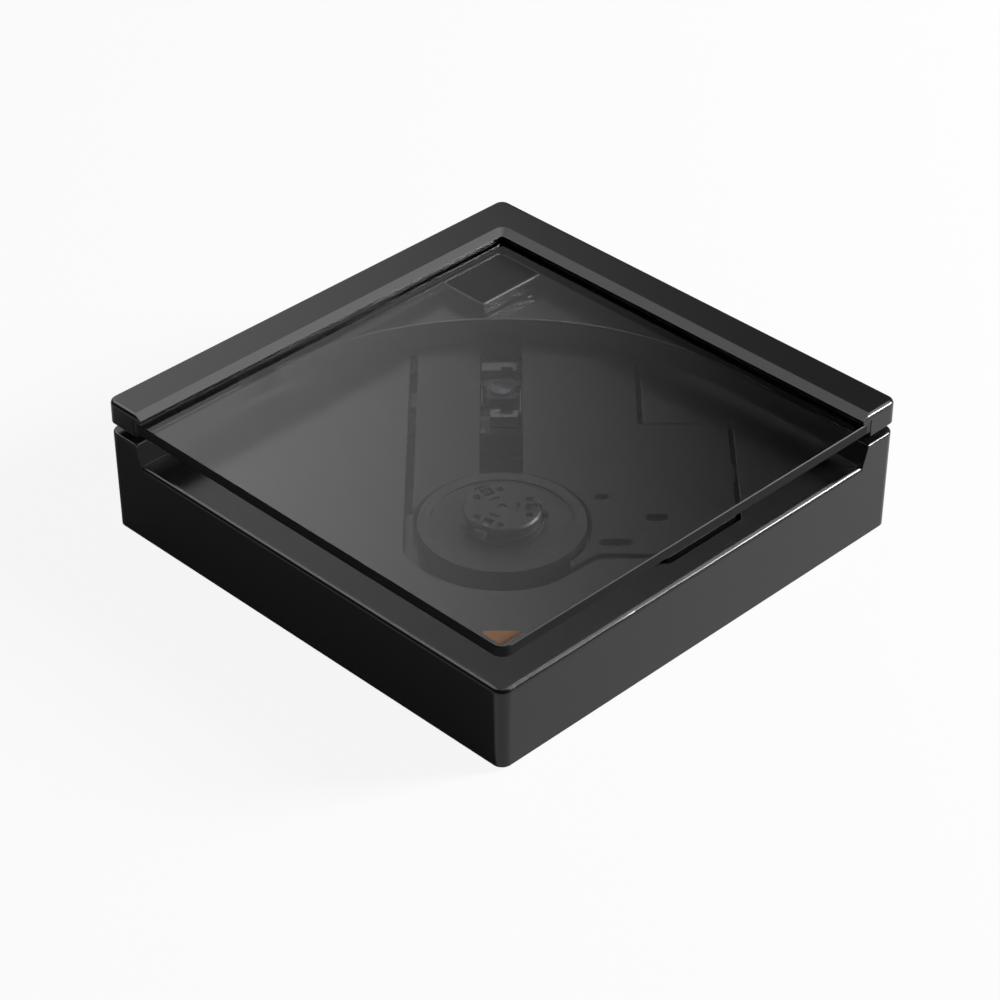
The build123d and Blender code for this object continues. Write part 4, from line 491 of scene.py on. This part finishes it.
# a tree that puts one cross-head screw on each point of its geometry
def crossScrewTree():
    tree = bpy.data.node_groups.new("crossScrew", "GeometryNodeTree")
    for label, kind in screwSockets.items():
        tree.interface.new_socket(label, in_out="INPUT", socket_type="NodeSocket" + kind)
    tree.interface.new_socket("Screws", in_out="OUTPUT", socket_type="NodeSocketGeometry")
    make, join = tree.nodes.new, tree.links.new
    given = make("NodeGroupInput").outputs

    head = make("GeometryNodeMeshCone")
    setInputs(head, {"Vertices": screwMake["headSides"]})
    join(given["Head Radius"], head.inputs["Radius Bottom"])
    join(given["Neck Radius"], head.inputs["Radius Top"])
    join(given["Head Height"], head.inputs["Depth"])
    shaft = make("GeometryNodeMeshCone")  # both radii alike, so that it starts at its foot
    setInputs(shaft, {"Vertices": screwMake["shaftSides"]})
    join(given["Shaft Radius"], shaft.inputs["Radius Bottom"])
    join(given["Shaft Radius"], shaft.inputs["Radius Top"])
    join(given["Length"], shaft.inputs["Depth"])

    solid = make("GeometryNodeMeshBoolean")
    solid.operation = "UNION"
    solid.solver = "EXACT"
    join(head.outputs["Mesh"], solid.inputs["Mesh 2"])
    join(shaft.outputs["Mesh"], solid.inputs["Mesh 2"])
    cut = make("GeometryNodeMeshBoolean")
    cut.operation = "DIFFERENCE"
    cut.solver = "EXACT"
    join(solid.outputs["Mesh"], cut.inputs["Mesh 1"])
    for long, short in (("X", "Y"), ("Y", "X")):
        size = make("ShaderNodeCombineXYZ")
        join(given["Recess"], size.inputs[long])
        join(given["Recess Width"], size.inputs[short])
        join(given["Head Height"], size.inputs["Z"])
        bar = make("GeometryNodeMeshCube")
        join(size.outputs["Vector"], bar.inputs["Size"])
        join(bar.outputs["Mesh"], cut.inputs["Mesh 2"])

    placed = make("GeometryNodeInstanceOnPoints")
    join(given["Places"], placed.inputs["Points"])
    join(cut.outputs["Mesh"], placed.inputs["Instance"])
    join(given["Turn"], placed.inputs["Rotation"])
    chance = make("FunctionNodeRandomValue")
    chance.data_type = "FLOAT"
    chance.inputs[3].default_value = math.pi / 2  # the float's upper end
    join(given["Seed"], chance.inputs["Seed"])
    twist = make("ShaderNodeCombineXYZ")
    join(chance.outputs[1], twist.inputs["Z"])
    turned = make("GeometryNodeRotateInstances")
    join(placed.outputs["Instances"], turned.inputs["Instances"])
    join(twist.outputs["Vector"], turned.inputs["Rotation"])
    real = make("GeometryNodeRealizeInstances")
    join(turned.outputs["Instances"], real.inputs["Geometry"])
    dressed = make("GeometryNodeSetMaterial")
    join(real.outputs["Geometry"], dressed.inputs["Geometry"])
    join(given["Steel"], dressed.inputs["Material"])
    join(dressed.outputs["Geometry"], make("NodeGroupOutput").inputs["Screws"])
    return tree


# runs a tree on the points and keeps its result as a plain mesh
def grownPiece(name, points, tree, values):
    mesh = bpy.data.meshes.new(name)
    mesh.from_pydata(points, [], [])
    piece = bpy.data.objects.new(name, mesh)
    bpy.context.scene.collection.objects.link(piece)
    modifier = piece.modifiers.new("tree", "NODES")
    modifier.node_group = tree
    for item in tree.interface.items_tree:
        if item.name in values:
            modifier[item.identifier] = values[item.name]
    grown = piece.evaluated_get(bpy.context.evaluated_depsgraph_get())
    plain = bpy.data.meshes.new_from_object(grown)
    piece.modifiers.clear()
    piece.data = plain
    plain.shade_smooth()
    plain.set_sharp_from_angle(angle=screwMake["sharpFrom"])
    return piece


def crossScrews():
    tree = crossScrewTree()
    for number, (node, kind) in enumerate(screwKinds.items()):
        boxes = solidBoxes(node)
        places = []
        for low, high in boxes:
            top = low.z if kind["down"] else high.z
            places.append(((low.x + high.x) / 2, (low.y + high.y) / 2, top))
        firstLow, firstHigh = boxes[0]
        name = node.split("_")[0] + "CrossScrews"
        piece = grownPiece(name, places, tree, {
            "Head Radius": kind["head"],
            "Neck Radius": kind["neck"],
            "Head Height": kind["rise"],
            "Shaft Radius": kind["shaft"],
            "Length": firstHigh.z - firstLow.z,
            "Recess": kind["recess"],
            "Recess Width": screwMake["recessWidth"],
            "Turn": (0.0 if kind["down"] else math.pi, 0.0, 0.0),
            "Seed": number,
            "Steel": finishes["screw_steel"],
        })
        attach(piece, "case")
        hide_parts(node)
        print(name, "on", len(places), "places,", len(piece.data.polygons), "faces")


crossScrews()


def direction(azimuth, elevation):
    turn, rise = math.radians(azimuth), math.radians(elevation)
    flat = math.cos(rise)
    return Vector((math.cos(turn) * flat, math.sin(turn) * flat, math.sin(rise)))


# 1 where the camera looks at this directly or through the glass, not in a reflection
def straightSight(tree):
    path = tree.nodes.new("ShaderNodeLightPath").outputs
    seen = mathNode(tree, "MAXIMUM", path["Is Camera Ray"], path["Is Transmission Ray"])
    unturned = mathNode(tree, "LESS_THAN", path["Glossy Depth"], 0.5)  # no reflection yet
    return mathNode(tree, "MULTIPLY", seen, unturned)


floorLook = {"half": 3.0, "drop": 0.0002, "paint": (0.8, 0.8, 0.8), "glow": 0.9}


# white to the camera, with a trace of the real shadow; lit paint for everything else
def paleFloor():
    half = floorLook["half"]
    corners = [(-half, -half, 0), (half, -half, 0), (half, half, 0), (-half, half, 0)]
    mesh = bpy.data.meshes.new("floor")
    mesh.from_pydata(corners, [], [(0, 1, 2, 3)])
    floor = bpy.data.objects.new("floor", mesh)
    floor.location.z = -floorLook["drop"]
    bpy.context.scene.collection.objects.link(floor)
    material, tree, surface = emptyMaterial("floorPaint")
    paint = tree.nodes.new("ShaderNodeBsdfDiffuse")
    setInputs(paint, {"Color": (*floorLook["paint"], 1)})
    glow = tree.nodes.new("ShaderNodeEmission")
    setInputs(glow, {"Color": (1, 1, 1, 1)})
    share = mathNode(tree, "MULTIPLY", straightSight(tree), floorLook["glow"])
    mix = mixShaders(tree, share, paint.outputs["BSDF"], glow.outputs["Emission"])
    tree.links.new(mix, surface)
    mesh.materials.append(material)


# Soft bright fields of the studio: azimuth and elevation of the middle, inner and outer radius,
# all in degrees, and level.
studioFields = {
    "highBack": (108, 60, 11, 23, 2.95),
    "leftBack": (166, 36, 15.5, 31, 1.4),
    "leftSide": (195, 52, 10, 25, 2.5),
    "rightSide": (68, 50, 10, 22, 2.5),
    "overhead": (135, 86, 8, 20, 2.5),
}
studioDim = 0.04  # the studio between the fields
studioLevel = 0.12  # the even light on matt surfaces


def whiteBackground(tree):
    background = tree.nodes.new("ShaderNodeBackground")
    setInputs(background, {"Color": (1, 1, 1, 1)})
    return background


# white where the camera looks past the object, the fields in reflections, even grey elsewhere
def studioWorld():
    world = bpy.data.worlds.new("studio")
    bpy.context.scene.world = world
    world.use_nodes = True
    tree = world.node_tree
    tree.nodes.clear()
    coords = tree.nodes.new("ShaderNodeTexCoord")
    total = studioDim
    for azimuth, elevation, inner, outer, level in studioFields.values():
        dot = tree.nodes.new("ShaderNodeVectorMath")
        dot.operation = "DOT_PRODUCT"
        dot.inputs[1].default_value = direction(azimuth, elevation)
        tree.links.new(coords.outputs["Generated"], dot.inputs[0])
        field = tree.nodes.new("ShaderNodeMapRange")
        field.interpolation_type = "SMOOTHSTEP"
        setInputs(field, {
            "From Min": math.cos(math.radians(outer)),
            "From Max": math.cos(math.radians(inner)),
            "To Max": level,
        })
        tree.links.new(dot.outputs["Value"], field.inputs["Value"])
        total = mathNode(tree, "ADD", field.outputs["Result"], total)
    fields = whiteBackground(tree)
    tree.links.new(total, fields.inputs["Strength"])
    even = whiteBackground(tree)
    setInputs(even, {"Strength": studioLevel})
    glossy = tree.nodes.new("ShaderNodeLightPath").outputs["Is Glossy Ray"]
    soft = mixShaders(tree, glossy, even.outputs["Background"], fields.outputs["Background"])
    past = whiteBackground(tree).outputs["Background"]
    output = tree.nodes.new("ShaderNodeOutputWorld")
    tree.links.new(mixShaders(tree, straightSight(tree), soft, past), output.inputs["Surface"])


# soft box: azimuth, elevation, distance, side length, watts
softBoxes = {
    "keyBack": (54, 26, 1.2, 0.35, 25.0),
}


def hangLamps():
    for name, (azimuth, elevation, distance, side, watts) in softBoxes.items():
        light = bpy.data.lights.new(name, "AREA")
        light.shape = "SQUARE"
        light.size = side
        light.energy = watts
        lamp = bpy.data.objects.new(name, light)
        lamp.location = direction(azimuth, elevation) * distance
        lamp.rotation_euler = (-lamp.location).to_track_quat("-Z", "Y").to_euler()
        bpy.context.scene.collection.objects.link(lamp)


cameraPlace = {
    "location": (0.34984, -0.35002, 0.35890),
    "forward": (-0.5757, 0.5751, -0.5812),
    "up": (-0.4112, 0.4108, 0.8137),
    "lens": 116.52,  # millimetres, on a sensor 36 mm wide
}


def placeCamera():
    data = bpy.data.cameras.new("camera")
    data.sensor_fit = "HORIZONTAL"
    data.sensor_width = 36
    data.lens = cameraPlace["lens"]
    camera = bpy.data.objects.new("camera", data)
    back = -Vector(cameraPlace["forward"]).normalized()
    side = Vector(cameraPlace["up"]).cross(back).normalized()
    turned = Matrix((side, back.cross(side), back)).transposed().to_4x4()
    camera.matrix_world = Matrix.Translation(cameraPlace["location"]) @ turned
    bpy.context.scene.collection.objects.link(camera)
    bpy.context.scene.camera = camera


paleFloor()
studioWorld()
hangLamps()
placeCamera()
bpy.context.scene.view_settings.view_transform = "Standard"
print("stage set")
